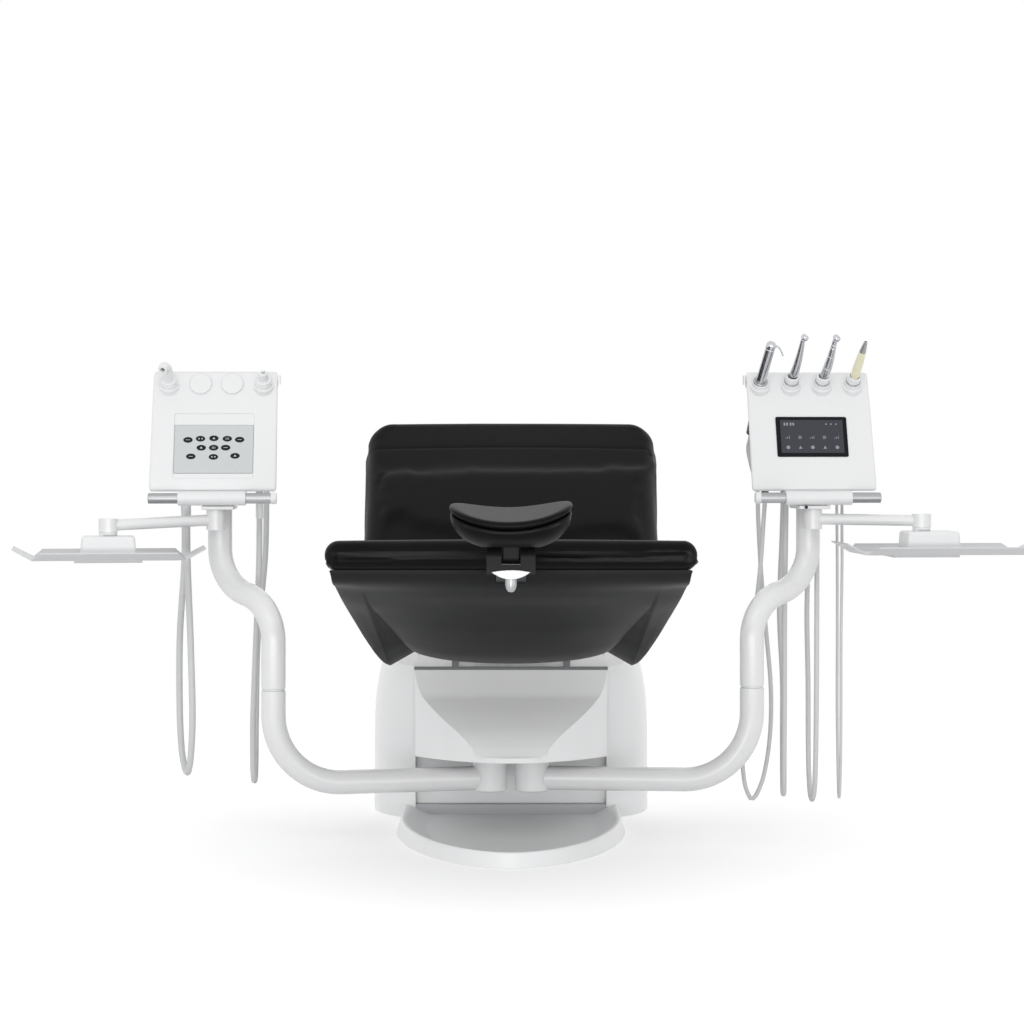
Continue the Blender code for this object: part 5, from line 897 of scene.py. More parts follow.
def housingRings(inset, low, rounding):
    # superellipses that shrink towards a roof that rises straight to the rear
    s = baseSpec["housing"]
    front, rear, width = s["front"] + inset, s["rear"] - inset, s["half"] - inset
    turns = np.linspace(0, math.tau, s["steps"], endpoint=False)
    c, d = np.cos(turns), np.sin(turns)
    px = np.sign(c) * np.abs(c) ** (2 / s["power"])
    py = np.sign(d) * np.abs(d) ** (2 / s["power"])
    rings = []
    for rise, draw in rounding:
        shrink = s["inset"] * draw
        a, b = front + shrink / 3, rear - shrink
        y = (a + b) / 2 + (b - a) / 2 * py
        top = blend(s["frontTop"], s["rearTop"], (y - s["front"]) / (s["rear"] - s["front"])) - inset
        rings.append(np.stack([(width - shrink) * px, y, blend(low, top, rise)], 1))
    return np.array(rings)


cover, below, toolHalf = baseSpec["housing"], baseSpec["below"], baseSpec["toolHalf"]
rises = np.concatenate([np.linspace(0, 0.9, 26), np.linspace(0.9, 1.0, 13)[1:]])
draws = np.clip(eased(rises, cover["risesAt"], cover["drawsIn"]), 0, 1)
housing = meshOf("housing_cover", [ringSurface(housingRings(0.0, 0.0, zip(rises, draws)))], sharp=180.0)
inside = meshOf("inside.tool", [ringSurface(housingRings(cover["wall"], -below,
                                                         zip(cover["risesAt"], cover["drawsIn"])))])
channel = meshOf("slot.tool", [boxSurface((-cover["slotHalf"], cover["slotFront"], -below),
                                          (cover["slotHalf"], cover["slotRear"], cover["slotTop"]))])
carve(housing, [inside, channel])
roundedAfterCut(housing, 0.0012, 2, 50.0, 42.0)
dress(housing, "baseWhitePaintedLight", "base", ("rear_housing",))


def apronOutline(inset):
    # front edge bulged by a square law, straight sides and rear
    s = baseSpec["apron"]
    share = np.linspace(1, -1, s["steps"] + 1)
    half = s["half"] - inset
    front = np.stack([half * share, s["front"] + inset + s["bulge"] * share ** 2], 1)
    return np.vstack([[(half, s["rear"] - inset)], front, [(-half, s["rear"] - inset)]])


apron = baseSpec["apron"]
block = meshOf("apron_cover", [prismSurface(apronOutline(0.0), apron["low"], apron["top"], "z")])
scoopShares = ((0.0, 0.0), (0.06, 0.16), (0.16, 0.32), (0.30, 0.43), (0.52, 0.58), (0.74, 0.75), (0.92, 1.0))
scoopPoints = [(apron["front"] + apron["scoop"] * (1 - a), apron["top"] - apron["drop"] * b)
               for a, b in scoopShares]
scoop = [tuple(p) for p in smoothCurve(scoopPoints, count=apron["scoopSteps"])]
ahead = apron["front"] - below
scoop += [(ahead, apron["top"] - apron["drop"]), (ahead, apron["top"] + below),
          (scoop[0][0], apron["top"] + below)]
scoopTool = meshOf("scoop.tool", [prismSurface(scoop, -toolHalf, toolHalf, "x")])
rear = apron["front"] + apron["scoop"]
behind = apron["rear"] - apron["wall"]
pocket = [(behind, apron["low"] - below), (behind, apron["top"] - apron["wall"])]
pocket += [(rear - apron["scoop"] * a, apron["top"] - apron["drop"] * b)
           for a, b in ((-0.10, 0.05), (-0.10, 0.36), (0.16, 0.48), (0.42, 0.64), (0.78, 0.90), (0.78, 1.0))]
pocket.append((pocket[-1][0], apron["low"] - below))
core = meshOf("core.tool", [prismSurface(apronOutline(apron["wall"]), apron["low"] - below,
                                         apron["top"] - apron["wall"], "z")])
carve(core, [meshOf("pocket.tool", [prismSurface(pocket, -toolHalf, toolHalf, "x")])], "INTERSECT")
notch = meshOf("notch.tool", [boxSurface(*apron["notch"])])
carve(block, [scoopTool, core, notch])
roundedAfterCut(block, 0.0016, 3, 40.0, 42.0)
dress(block, "baseWhitePaintedLight", "base", ("front_apron",))
# dark grey strip along the top edge of the scoop, painted shade for the shadowed lip there, its section in
# offsets from that edge
shadeStripSpec = {"half": 0.1955, "bevel": 0.0004,
              "section": ((-0.0022, -0.0062), (-0.0004, -0.0062), (0.0030, 0.0004), (-0.0022, 0.0004))}
section = [(rear + a, apron["top"] + b) for a, b in shadeStripSpec["section"]]
shadeStrip = meshOf("scoop_shade_strip", [prismSurface(section, -shadeStripSpec["half"], shadeStripSpec["half"], "x")],
                bevel=shadeStripSpec["bevel"])
dress(shadeStrip, "greyRubber", "base")
refined("arm_bracket", "darkSteel", "base", 0.0012)
refined("recess_panel", "baseWhitePaintedLight", "base", 0.0010)
refined("base_frame", "frameSteel", "base", 0.0015)
refined("lift_tube_outer", "frameSteel", "base", 0.0)
refined("lift_tube_middle", "frameSteel", "lift_middle", 0.0)
refined("lift_tube_inner", "frameSteel", "lift_inner", 0.0008)
for side in ("left", "right"):
    refined("back_buffer_" + side, "greyRubber", "base", 0.0)
print("base made")


# Swing arms

armSpec = {"hub": 0.042, "hubRadius": 0.0345, "hubLow": 0.101, "hubHeight": 0.103, "pin": 0.0155,
           "reach": 0.443, "tubeZ": 0.127, "tube": 0.02415, "elbow": 0.137, "seam": 0.313, "gap": 0.003,
           "collar": 0.002, "bend": 0.0928, "bendTurn": math.radians(76.0), "bendZ": 0.411, "top": 0.6797,
           "turn": {"left": 14.8, "right": -6.0}, "upper": {"left": -36.0, "right": 31.5},
           "console": {"left": 1.5, "right": 4.5}, "consoleShift": {"left": -0.0108, "right": 0.003}}
signs = {"left": -1, "right": 1}
places = {}
for side, sign in signs.items():
    a = armSpec
    turn = {k: math.radians(a[k][side]) for k in ("turn", "upper", "console")}
    hub = shiftBy(sign * a["hub"], 0, 0) @ rotationZ(turn["turn"])
    seam = hub @ shiftBy(sign * a["reach"], 0, 0) @ rotationZ(turn["upper"] - turn["turn"])
    width = 2 * a["bend"] * (1 - math.cos(a["bendTurn"]))
    post = seam @ shiftBy(sign * width, 0, 0) @ rotationZ(turn["console"] - turn["upper"])
    console = post @ shiftBy(a["consoleShift"][side], 0, 0)
    places[side] = {"hub": hub, "seam": seam, "post": post, "console": console}


def armPieces(side):
    # tubes along a line and a quarter circle, and along two mirrored arcs; the hub is a turned barrel
    a, sign, place = armSpec, signs[side], places[side]
    turns = np.linspace(0, math.pi / 2, 28)
    elbow = np.stack([sign * (a["reach"] - a["elbow"] * (1 - np.sin(turns))), 0 * turns,
                      a["tubeZ"] + a["elbow"] * (1 - np.cos(turns))], 1)
    straight = np.stack([np.linspace(sign * 0.026, elbow[0, 0], 9)[:-1], np.zeros(8),
                         np.full(8, a["tubeZ"])], 1)
    rise = np.stack([np.full(3, sign * a["reach"]), np.zeros(3),
                     [0.29, a["seam"] - 0.0012, a["seam"]]], 1)
    path = np.vstack([straight, elbow, rise])
    radii = np.full(len(path), a["tube"])
    radii[-1] = a["tube"] - 0.0012
    tube = tubeSurface(path, radii, 48)
    low, high = a["hubLow"], a["hubLow"] + a["hubHeight"]
    r, p = a["hubRadius"], a["pin"]
    barrel = np.array([(p, low + 0.002), (p + 0.0015, low), (r - 0.003, low), (r - 0.0008, low + 0.0012),
                       (r, low + 0.0035), (r, high - 0.0100), (r - 0.0006, high - 0.0094),
                       (r - 0.0006, high - 0.0086), (r, high - 0.0080), (r, high - 0.0030),
                       (r - 0.0010, high - 0.0008), (r - 0.0035, high), (p + 0.0015, high),
                       (p, high - 0.002)])
    sleeve = turnedSurface(barrel, sides=64, closed=True)
    lower = meshOf("lower_arm_%s.tube" % side, [tube], place["hub"], sharp=50.0)
    hubPiece = meshOf("hub.tool", [sleeve], place["hub"], sharp=50.0)
    carve(lower, [hubPiece], "UNION")
    bore = meshOf("bore.tool", [turnedSurface([(p, low - 0.02), (p, high + 0.02)], sides=64)], place["hub"])
    carve(lower, [bore])
    roundedAfterCut(lower, 0.0, sharp=40.0)
    dress(lower, "whitePaint", "lower_arm_" + side, ("lower_arm_" + side,))

    turns = np.linspace(0, a["bendTurn"], 24)
    one = np.stack([sign * a["bend"] * (1 - np.cos(turns)), 0 * turns,
                    a["bendZ"] + a["bend"] * np.sin(turns)], 1)
    width = 2 * a["bend"] * (1 - math.cos(a["bendTurn"]))
    rise = 2 * a["bend"] * math.sin(a["bendTurn"])
    two = np.stack([sign * (width - a["bend"] * (1 - np.cos(turns[::-1]))), 0 * turns,
                    a["bendZ"] + rise - a["bend"] * np.sin(turns[::-1])], 1)
    start = a["seam"] + a["gap"]
    path = np.vstack([[(0, 0, a["seam"] + 0.0004), (0, 0, start - 0.0002), (0, 0, start + 0.0012),
                       (0, 0, start + 0.02)], one, two[1:],
                      [(sign * width, 0, 0.63), (sign * width, 0, a["top"])]])
    radii = np.full(len(path), a["tube"])
    radii[0] = radii[1] = a["tube"] - a["collar"]
    radii[2] = a["tube"] - 0.0004
    upper = meshOf("upper_arm_%s.tube" % side, [tubeSurface(path, radii, 48)], place["seam"], sharp=40.0)
    dress(upper, "whitePaint", "upper_arm_" + side, ("upper_arm_" + side,), weighted=False)


for side in signs:
    armPieces(side)
print("arms made")


# Consoles

consoleSpec = {
    "half": 0.127, "low": 0.706, "height": 0.241, "depth": 0.150, "front": -0.060, "topTaper": 0.99,
    "backTaper": 0.80, "edge": 0.0055,
    "outline": ((0.0, 0.0), (0.030, 0.080), (0.400, 0.700), (0.590, 0.985), (0.640, 1.0), (0.840, 1.0),
                (0.960, 0.930), (1.0, 0.720), (0.985, 0.400), (0.930, 0.100), (0.840, 0.0)),
    "faceLow": (0.030, 0.080), "faceMiddle": (0.400, 0.700), "faceHigh": (0.590, 0.985),
    "recess": 0.004, "keypad": (0.157, 0.102, 0.44, 0.0), "display": (0.144, 0.085, 0.60, 0.001),
    "pitch": 0.0634, "first": {"left": -0.0930, "right": -0.0990}, "holderShare": 0.63,
    "lean": math.radians(42.0), "sideLean": {"left": 0.0, "right": math.radians(1.5)},
    "boss": 0.0165, "bossHeight": 0.011, "bore": 0.0113,
    "bar": 0.0106, "barHalf": 0.126, "barY": -0.078, "barZ": 0.693,
    "barShift": {"left": 0.0, "right": 0.004}, "soft": 0.016,
    "frame": (0.161, 0.1394, 0.003), "frameRise": 0.0069,
    "frameLevels": ((0.0035, 0.030), (0.0, 0.0), (-0.0014, -0.0020), (-0.0022, -0.0024)),
}


def consolePoint(shares):
    # depth and height of a point of the side outline, given as shares of the case
    s = consoleSpec
    return np.array([s["front"] + s["depth"] * shares[0], s["low"] + s["height"] * shares[1]])


def facePlace(share, lift, x, low="faceLow", high="faceMiddle"):
    # frame on the sloped face: X right, Y up the slope, Z out of it
    a, b = consolePoint(consoleSpec[low]), consolePoint(consoleSpec[high])
    up = (b - a) / np.linalg.norm(b - a)
    matrix = np.eye(4)
    matrix[:3, 0] = (1, 0, 0)
    matrix[:3, 1] = (0, up[0], up[1])
    matrix[:3, 2] = np.cross(matrix[:3, 0], matrix[:3, 1])
    matrix[:3, 3] = (x, *blend(a, b, share)) + matrix[:3, 2] * lift
    return matrix


def holderPlace(side, index):
    # middle of a holder's mouth on the upper face, evenly spaced across
    s = consoleSpec
    y, z = consolePoint(blend(np.array(s["faceMiddle"]), np.array(s["faceHigh"]), s["holderShare"]))
    return np.array([s["first"][side] + s["pitch"] * index, y, z])


def holderAxis(side, extra=0.0):
    # tipped to the front by the case's lean, and sideways by the side's own
    lean = consoleSpec["sideLean"][side] + extra
    tip = consoleSpec["lean"]
    return np.array([math.sin(lean), -math.sin(tip) * math.cos(lean), math.cos(tip) * math.cos(lean)])


def roundedRectangle(width, height, radius, steps=6):
    # four quarter circles joined by straight sides
    points = []
    for cx, cy, start in ((1, 1, 0), (-1, 1, 90), (-1, -1, 180), (1, -1, 270)):
        for t in np.radians(np.linspace(start, start + 90, steps + 1)):
            points.append((cx * (width / 2 - radius) + radius * math.cos(t),
                           cy * (height / 2 - radius) + radius * math.sin(t)))
    return points


def consoleBody():
    # side outline with eased corners, carried across; the last few stations draw in for a round edge
    s = consoleSpec
    corners = np.array([consolePoint(p) for p in s["outline"]])
    loop = np.vstack([corners[-1:], corners, corners[:1]])
    loop = softened(loop, s["soft"], 5)[1:-1]
    centre = loop.mean(0)
    normals = np.roll(loop, -1, 0) - np.roll(loop, 1, 0)
    normals = np.stack([-normals[:, 1], normals[:, 0]], 1)
    normals /= np.linalg.norm(normals, axis=1)[:, None]
    if ((loop - centre) * normals).sum() < 0:
        normals = -normals
    edge = s["edge"]
    turns = np.linspace(0, math.pi / 2, 6)
    stations = [(-s["half"] + edge * (1 - math.sin(t)), edge * (1 - math.cos(t))) for t in turns[::-1]]
    stations = sorted(set((round(x, 6), round(d, 6)) for x, d in stations), key=lambda q: q[0])
    middle = [(x, 0.0) for x in np.linspace(-s["half"] + edge, s["half"] - edge, 13)[1:-1]]
    stations = stations + middle + [(-x, d) for x, d in stations[::-1]]
    rings = []
    for x, draw in stations:
        ring = loop - normals * draw
        rise = (ring[:, 1] - s["low"]) / s["height"]
        behind = np.maximum((ring[:, 0] - s["front"]) / s["depth"] - rise * s["faceHigh"][0], 0.0)
        taper = blend(1.0, s["topTaper"], rise) * blend(1.0, s["backTaper"], behind)
        rings.append(np.column_stack([x * taper, ring]))
    return ringSurface(np.array(rings))


def makeConsole(side, holders):
    # the case with a turned boss and bore per holder and recesses on its sloped face
    s, place = consoleSpec, places[side]["console"]
    body = meshOf("console_body_%s.case" % side, [consoleBody()], place)
    tools = []
    axis = holderAxis(side)
    for index in holders:
        base = holderPlace(side, index)
        flange = [(0.0005, -0.016), (0.0205, -0.016), (0.0205, 0.0010), (0.0195, 0.0024), (0.0172, 0.0028),
                  (s["boss"], 0.0040), (s["boss"] - 0.0004, s["bossHeight"] - 0.0016),
                  (s["boss"] - 0.0018, s["bossHeight"]), (0.0005, s["bossHeight"])]
        carve(body, [meshOf("boss.tool", [turnedSurface(flange, base, axis, 48)], place)], "UNION")
        wide = s["bore"] + 0.0012
        bore = [(s["bore"], -0.20), (s["bore"], s["bossHeight"] - 0.0012), (wide, s["bossHeight"] + 0.0002),
                (wide, s["bossHeight"] + 0.01)]
        tools.append(meshOf("bore.tool", [turnedSurface(bore, base, axis, 40)], place))
    width, height, share, shift = s["keypad"] if side == "left" else s["display"]
    matrix = facePlace(share, 0.0, shift)
    if side == "left":
        frameOutline = np.array(roundedRectangle(*s["frame"], 4)) + (0.0, s["frameRise"])
        rings = [np.column_stack([frameOutline * (1 + grow / 0.07), np.full(len(frameOutline), level)])
                 for grow, level in s["frameLevels"]]
        tools.append(meshOf("frame.tool", [ringSurface(np.array(rings))], place @ matrix))
    outline = roundedRectangle(width + 0.0016, height + 0.0016, 0.0035 if side == "right" else 0.001)
    tools.append(meshOf("recess.tool", [prismSurface(outline, -s["recess"], 0.02, "z")], place @ matrix))
    carve(body, tools)
    roundedAfterCut(body, 0.0, sharp=34.0)
    dress(body, "whiteShell", "console_" + side, ("console_body_" + side,))
    return matrix


def faceSlab(name, outline, low, high, matrix, finish, body, replaced=(), bevel=0.0004):
    piece = meshOf(name, [prismSurface(outline, low, high, "z")], matrix, bevel=bevel, bevelSegments=2)
    return dress(piece, finish, body, replaced)


keySpec = {"size": (0.0188, 0.0120), "rows": (((-0.0517, 0.0193), (-0.0267, 0.0218), (0.0, 0.0227),
                                               (0.0267, 0.0218), (0.0514, 0.0198)),
                                              ((-0.0247, 0.0026), (0.0, 0.0026), (0.0238, 0.0028)),
                                              ((-0.0450, -0.0159), (0.0, -0.0169), (0.0430, -0.0146)))}


def ellipse(width, height, steps=36, x=0.0, y=0.0):
    # cosine and sine of an even turn, stretched to the width and height
    turns = np.linspace(0, math.tau, steps, endpoint=False)
    return np.stack([x + width / 2 * np.cos(turns), y + height / 2 * np.sin(turns)], 1)


def keyMark(kind, x, y):
    # plain signs: a flat bar, two dots, a triangle or three upright bars
    if kind == 0:
        return [np.array([(x - 0.004, y - 0.0004), (x + 0.004, y - 0.0004), (x + 0.004, y + 0.0004),
                          (x - 0.004, y + 0.0004)])]
    if kind == 1:
        return [ellipse(0.0028, 0.0028, 16, x + d, y) for d in (-0.0030, 0.0030)]
    if kind == 2:
        return [np.array([(x - 0.0028, y - 0.0016), (x + 0.0028, y - 0.0016), (x, y + 0.0022)])]
    return [np.array([(x + d - 0.0004, y - 0.0022), (x + d + 0.0004, y - 0.0022),
                      (x + d + 0.0004, y + 0.0022), (x + d - 0.0004, y + 0.0022)])
            for d in (-0.0026, 0.0, 0.0026)]


matrix = places["left"]["console"] @ makeConsole("left", (0, 3))
width, height = consoleSpec["keypad"][:2]
faceSlab("keypad_foil", roundedRectangle(width, height, 0.001), -0.0037, -0.0012, matrix, "greyFoil",
         "console_left", ("keypad",))
keys, marks = [], []
for row, centres in enumerate(keySpec["rows"]):
    for column, (x, y) in enumerate(centres):
        keys.append(prismSurface(ellipse(*keySpec["size"], 36, x, y), -0.0013, -0.0007, "z"))
        marks += [prismSurface(outline, -0.0008, -0.00055, "z")
                  for outline in keyMark((row * 2 + column) % 4, x, y)]
marks.append(prismSurface([(0.0468, -0.0400), (0.0475, -0.0400), (0.0475, -0.0335), (0.0468, -0.0335)],
                          -0.0013, -0.0010, "z"))
dress(meshOf("keypad_keys", keys, matrix, bevel=0.0002, bevelSegments=2), "keyBlack", "console_left")
dress(meshOf("keypad_marks", marks, matrix), "markPale", "console_left", weighted=False)

matrix = places["right"]["console"] @ makeConsole("right", (0, 1, 2, 3))
width, height = consoleSpec["display"][:2]
faceSlab("display_glass", roundedRectangle(width, height, 0.0030), -0.0037, 0.0022, matrix, "displayGlass",
         "console_right", ("display",), 0.0008)


def glowFinish(name, colour, strength):
    material, tree, shader = emptyMaterial(name)
    grain = groupNode(tree, fineGrain)
    driftColour(tree, shader, grain.outputs["Blotch"], tuple(c * 0.9 for c in colour), colour)
    shader.inputs["Emission Color"].default_value = (*colour, 1.0)
    shader.inputs["Emission Strength"].default_value = strength
    finishes[name] = material
    slots[name] = "display_glass"


glowFinish("screenField", (0.018, 0.020, 0.028), 0.30)
glowFinish("screenMark", (0.17, 0.18, 0.21), 0.55)
screenSpec = {"field": (0.128, 0.071, 0.001), "columns": 5, "rows": 2, "pitch": (0.0250, 0.0215),
              "low": -0.0235, "top": 0.0265}
field = prismSurface(roundedRectangle(*screenSpec["field"]), 0.0021, 0.00245, "z")
dress(meshOf("screen_field", [field], matrix), "screenField", "console_right", weighted=False)
tiles = []
for row in range(screenSpec["rows"]):
    for column in range(screenSpec["columns"]):
        x = (column - 2) * screenSpec["pitch"][0]
        y = screenSpec["low"] + row * screenSpec["pitch"][1]
        kind = (column * 2 + row) % 4
        if kind == 0:
            tiles += [ellipse(0.0075, 0.0075, 24, x, y)]
        elif kind == 1:
            tiles += [np.array([(x + d, y - 0.0030), (x + d + 0.0012, y - 0.0030),
                                (x + d + 0.0012, y - 0.003 + h), (x + d, y - 0.0030 + h)])
                      for d, h in ((-0.004, 0.003), (-0.0006, 0.0045), (0.0028, 0.006))]
        elif kind == 2:
            tiles += [np.array([(x - 0.0036, y - 0.003), (x + 0.0036, y - 0.003), (x, y + 0.0035)])]
        else:
            tiles += [roundedRectangle(0.0070, 0.0012, 0.0005, 3) + np.array([x, y + d])
                      for d in (-0.0024, 0.0, 0.0024)]
tiles += [roundedRectangle(0.0035, 0.0062, 0.0006, 3) + np.array([-0.055 + d, screenSpec["top"]])
          for d in (0.0, 0.0055, 0.0125, 0.0180)]
tiles += [ellipse(0.0034, 0.0034, 16, x, screenSpec["top"]) for x in (0.030, 0.040, 0.050)]
dress(meshOf("screen_marks", [prismSurface(t, 0.0024, 0.0026, "z") for t in tiles], matrix), "screenMark",
      "console_right", weighted=False)
print("console cases made")


# Holders' blank caps, swivels, handle bars and side hooks

capSpec = {"radius": 0.0225, "height": 0.004, "share": 0.68, "clear": 0.0003}
for number in (1, 2):
    x = consoleSpec["first"]["left"] + consoleSpec["pitch"] * number
    frameMatrix = facePlace(capSpec["share"], capSpec["clear"], x, "faceMiddle", "faceHigh")
    r, h = capSpec["radius"], capSpec["height"]
    profile = [(0.0004, 0.0), (r - 0.0006, 0.0), (r, 0.0006), (r, h * 0.45), (r - 0.0005, h * 0.72),
               (r - 0.0018, h * 0.92), (r - 0.0040, h), (0.0004, h)]
    cap = meshOf("holder_cap_%d" % number, [turnedSurface(profile, sides=72)],
                 places["left"]["console"] @ frameMatrix, sharp=60.0)
    dress(cap, "whiteShell", "console_left", ("blank_cap_%d" % number,))

hookSpec = {"share": 0.958, "from": 0.026, "to": 0.040, "bevel": 0.0006,
            "outline": ((0.0, 0.914), (0.0, 0.938), (0.0015, 0.9405), (0.0075, 0.9405), (0.0090, 0.9390),
                        (0.0090, 0.9210), (0.0066, 0.9210), (0.0066, 0.9372), (0.0034, 0.9372),
                        (0.0034, 0.914))}
for side, sign in signs.items():
    place = places[side]["console"]
    s = consoleSpec
    refined("console_swivel_" + side, "whitePlastic", "console_" + side, 0.0)
    shift = s["barShift"][side]
    r, half = s["bar"], s["barHalf"]
    profile = [(0.0004, -half), (r - 0.0016, -half), (r - 0.0004, -half + 0.0006), (r, -half + 0.0018),
               (r, half - 0.0018), (r - 0.0004, half - 0.0006), (r - 0.0016, half), (0.0004, half)]
    rod = turnedSurface(profile, (shift, s["barY"], s["barZ"]), (1, 0, 0), 64)
    bar = meshOf("handle_rod_" + side, [rod], place, sharp=50.0)
    dress(bar, "satinMetal", "console_" + side, ("handle_bar_" + side,))
    # white cap over the end that faces the patient
    inner = shift - sign * half
    e = r + 0.0010
    profile = [(0.0004, -0.0024), (e - 0.0022, -0.0024), (e - 0.0006, -0.0019), (e, -0.0006), (e, 0.0085),
               (e - 0.0004, 0.0090), (r - 0.0002, 0.0090), (r - 0.0002, -0.0004), (0.0004, -0.0004)]
    sleeve = turnedSurface(profile, (inner, s["barY"], s["barZ"]), (sign, 0, 0), 64)
    endCap = meshOf("bar_end_" + side, [sleeve], place, sharp=50.0)
    dress(endCap, "whitePlastic", "console_" + side)
    refined("bar_clamp_" + side, "whiteShell", "console_" + side, 0.0010, 2, 60.0, 50.0)
    # small bent hook on the console's inner side, near its top
    edgeX = -sign * s["half"] * hookSpec["share"]
    outline = [(edgeX - sign * a, b) for a, b in hookSpec["outline"]]
    hookPiece = meshOf("side_hook_" + side, [prismSurface(outline, hookSpec["from"], hookSpec["to"], "y")],
                       place, bevel=hookSpec["bevel"], bevelSegments=2)
    dress(hookPiece, "whitePlastic", "console_" + side)

screwSpec = {"place": (-0.0180, -0.078, 0.6738),
             "profile": ((0.0002, 0.0008), (0.0010, 0.0008), (0.0014, 0.0030), (0.0026, 0.0030),
                         (0.0032, 0.0022), (0.0032, -0.002), (0.0002, -0.002))}
screw = meshOf("swivel_screw", [turnedSurface(screwSpec["profile"], screwSpec["place"], (0, -1, 0), 32)],
               places["right"]["post"], sharp=40.0)
dress(screw, "darkSteel", "console_right")
print("console fittings made")


# Instruments, each in its holder's own frame: X to the right, Y away, Z along the handle

instrumentSpec = {
    "seat": 0.0113, "flange": 0.0150, "flangeHeight": 0.004, "tail": 0.0105, "tailLength": 0.128,
    "cup": 0.0135, "cupHeight": 0.0125,
    "lean": {"syringe": 5.0, "turbine": 1.0, "angle": 2.0, "scaler": 5.0, "ejector": 0.0},
    "curve": 0.0055, "curveEnd": 0.08,
    "syringe": ((0.0096, 0.000), (0.0100, 0.004), (0.0100, 0.0855), (0.0092, 0.0862), (0.0092, 0.0872),
                (0.0102, 0.0880), (0.0103, 0.0920), (0.0097, 0.0968), (0.0074, 0.1000), (0.0040, 0.1016),
                (0.0002, 0.1020)),
    "turbine": ((0.0074, 0.000), (0.0074, 0.012), (0.0083, 0.0135), (0.0088, 0.020), (0.0086, 0.030),
                (0.0079, 0.045), (0.0071, 0.062), (0.0062, 0.080), (0.0052, 0.096), (0.0046, 0.105),
                (0.0044, 0.1095), (0.0002, 0.110)),
    "angle": ((0.0084, 0.000), (0.0088, 0.010), (0.0092, 0.022), (0.0092, 0.036), (0.0086, 0.0365),
              (0.0086, 0.0385), (0.0090, 0.039), (0.0083, 0.054), (0.0074, 0.066), (0.0068, 0.0665),
              (0.0068, 0.0685), (0.0073, 0.069), (0.0066, 0.080), (0.0060, 0.088), (0.0048, 0.0885),
              (0.0048, 0.0905), (0.0057, 0.091), (0.0055, 0.096), (0.0046, 0.0965), (0.0046, 0.0985),
              (0.0052, 0.099), (0.0048, 0.108), (0.0002, 0.109)),
    "scaler": ((0.0082, 0.000), (0.0086, 0.010), (0.0093, 0.022), (0.0094, 0.032), (0.0088, 0.050),
               (0.0080, 0.066), (0.0072, 0.0768), (0.0002, 0.0770)),
    "scalerTip": ((0.0002, 0.0768), (0.0068, 0.0768), (0.0070, 0.0778), (0.0056, 0.088), (0.0042, 0.0985),
                  (0.0034, 0.1035), (0.0026, 0.1042), (0.0020, 0.1036), (0.0018, 0.098), (0.0002, 0.098)),
    "ejector": ((0.0092, 0.000), (0.0094, 0.010), (0.0092, 0.0160), (0.0080, 0.0196), (0.0056, 0.0206),
                (0.0046, 0.0200), (0.0042, 0.0180), (0.0042, 0.0062), (0.0002, 0.0062)),
    "suctionPath": ((0.0, 0.0, -0.003), (0.0, 0.0, 0.0120), (-0.0003, -0.0003, 0.0220),
                    (-0.0012, -0.0020, 0.0310), (-0.0026, -0.0060, 0.0385), (-0.0042, -0.0115, 0.0440),
                    (-0.0059, -0.0180, 0.0475), (-0.0075, -0.0262, 0.0484)),
    "suctionSteps": 56, "suctionSlimming": ((0, 0.90, 0.97, 1), (1, 1, 0.97, 0.86)),
    "tipPath": ((0.006, 0.0, 0.0930), (0.0125, -0.0006, 0.0938), (0.0185, -0.0014, 0.0900),
                (0.0240, -0.0024, 0.0828), (0.0290, -0.0034, 0.0740)),
    "tipSteps": 30, "tipRadii": ((0, 0.12, 0.2, 0.97, 1), (0.0034, 0.0032, 0.0019, 0.0014, 0.0010)),
    "suction": 0.0100, "suctionBore": 0.0047,
}


def holderMatrix(side, index, lean=0.0):
    # frame at the seat of the flange; the lean turns it, the straight axis places it
    matrix = np.eye(4)
    matrix[:3, :3] = frameAlong(holderAxis(side, math.radians(lean)))
    straight = holderAxis(side)
    lift = instrumentSpec["seat"] + instrumentSpec["flangeHeight"]
    matrix[:3, 3] = holderPlace(side, index) + straight * lift
    return places[side]["console"] @ matrix


def tailSurface():
    # tail in the bore with its flange
    t = instrumentSpec
    low = -t["tailLength"] - t["seat"] - t["flangeHeight"]
    profile = [(0.0004, low), (t["tail"] - 0.001, low), (t["tail"], low + 0.001), (t["tail"], -0.0042),
               (t["flange"] - 0.0006, -0.0042), (t["flange"], -0.0036), (t["flange"], -0.0012),
               (t["flange"] - 0.0010, -0.0002), (0.0100, 0.0), (0.0004, 0.0)]
    return turnedSurface(profile, sides=56)


def handle(name, side, index, finish, body, node, key, sides=64, profile=None, extra=(), curve=0.0):
    # the instrument's turned profile, leaned in its holder
    lean = instrumentSpec["lean"][key]
    soft = softened(profile or instrumentSpec[key], 0.0012, 3)
    surfaces = [turnedSurface(soft, sides=sides)] + list(extra)
    # a curved handle swings to the right over its lower part and then runs straight
    for points, faces in surfaces:
        rise = np.clip(points[:, 2] / instrumentSpec["curveEnd"], 0, 1)
        points[:, 0] += curve * np.sin(math.pi / 2 * rise)
    piece = meshOf(name, surfaces, holderMatrix(side, index, lean), sharp=40.0)
    return dress(piece, finish, body, (node,) if node else ())


def holderTail(name, side, index, finish):
    # on the holder's own axis, without the instrument's lean
    piece = meshOf(name, [tailSurface()], holderMatrix(side, index), sharp=40.0)
    return dress(piece, finish, "console_" + side)


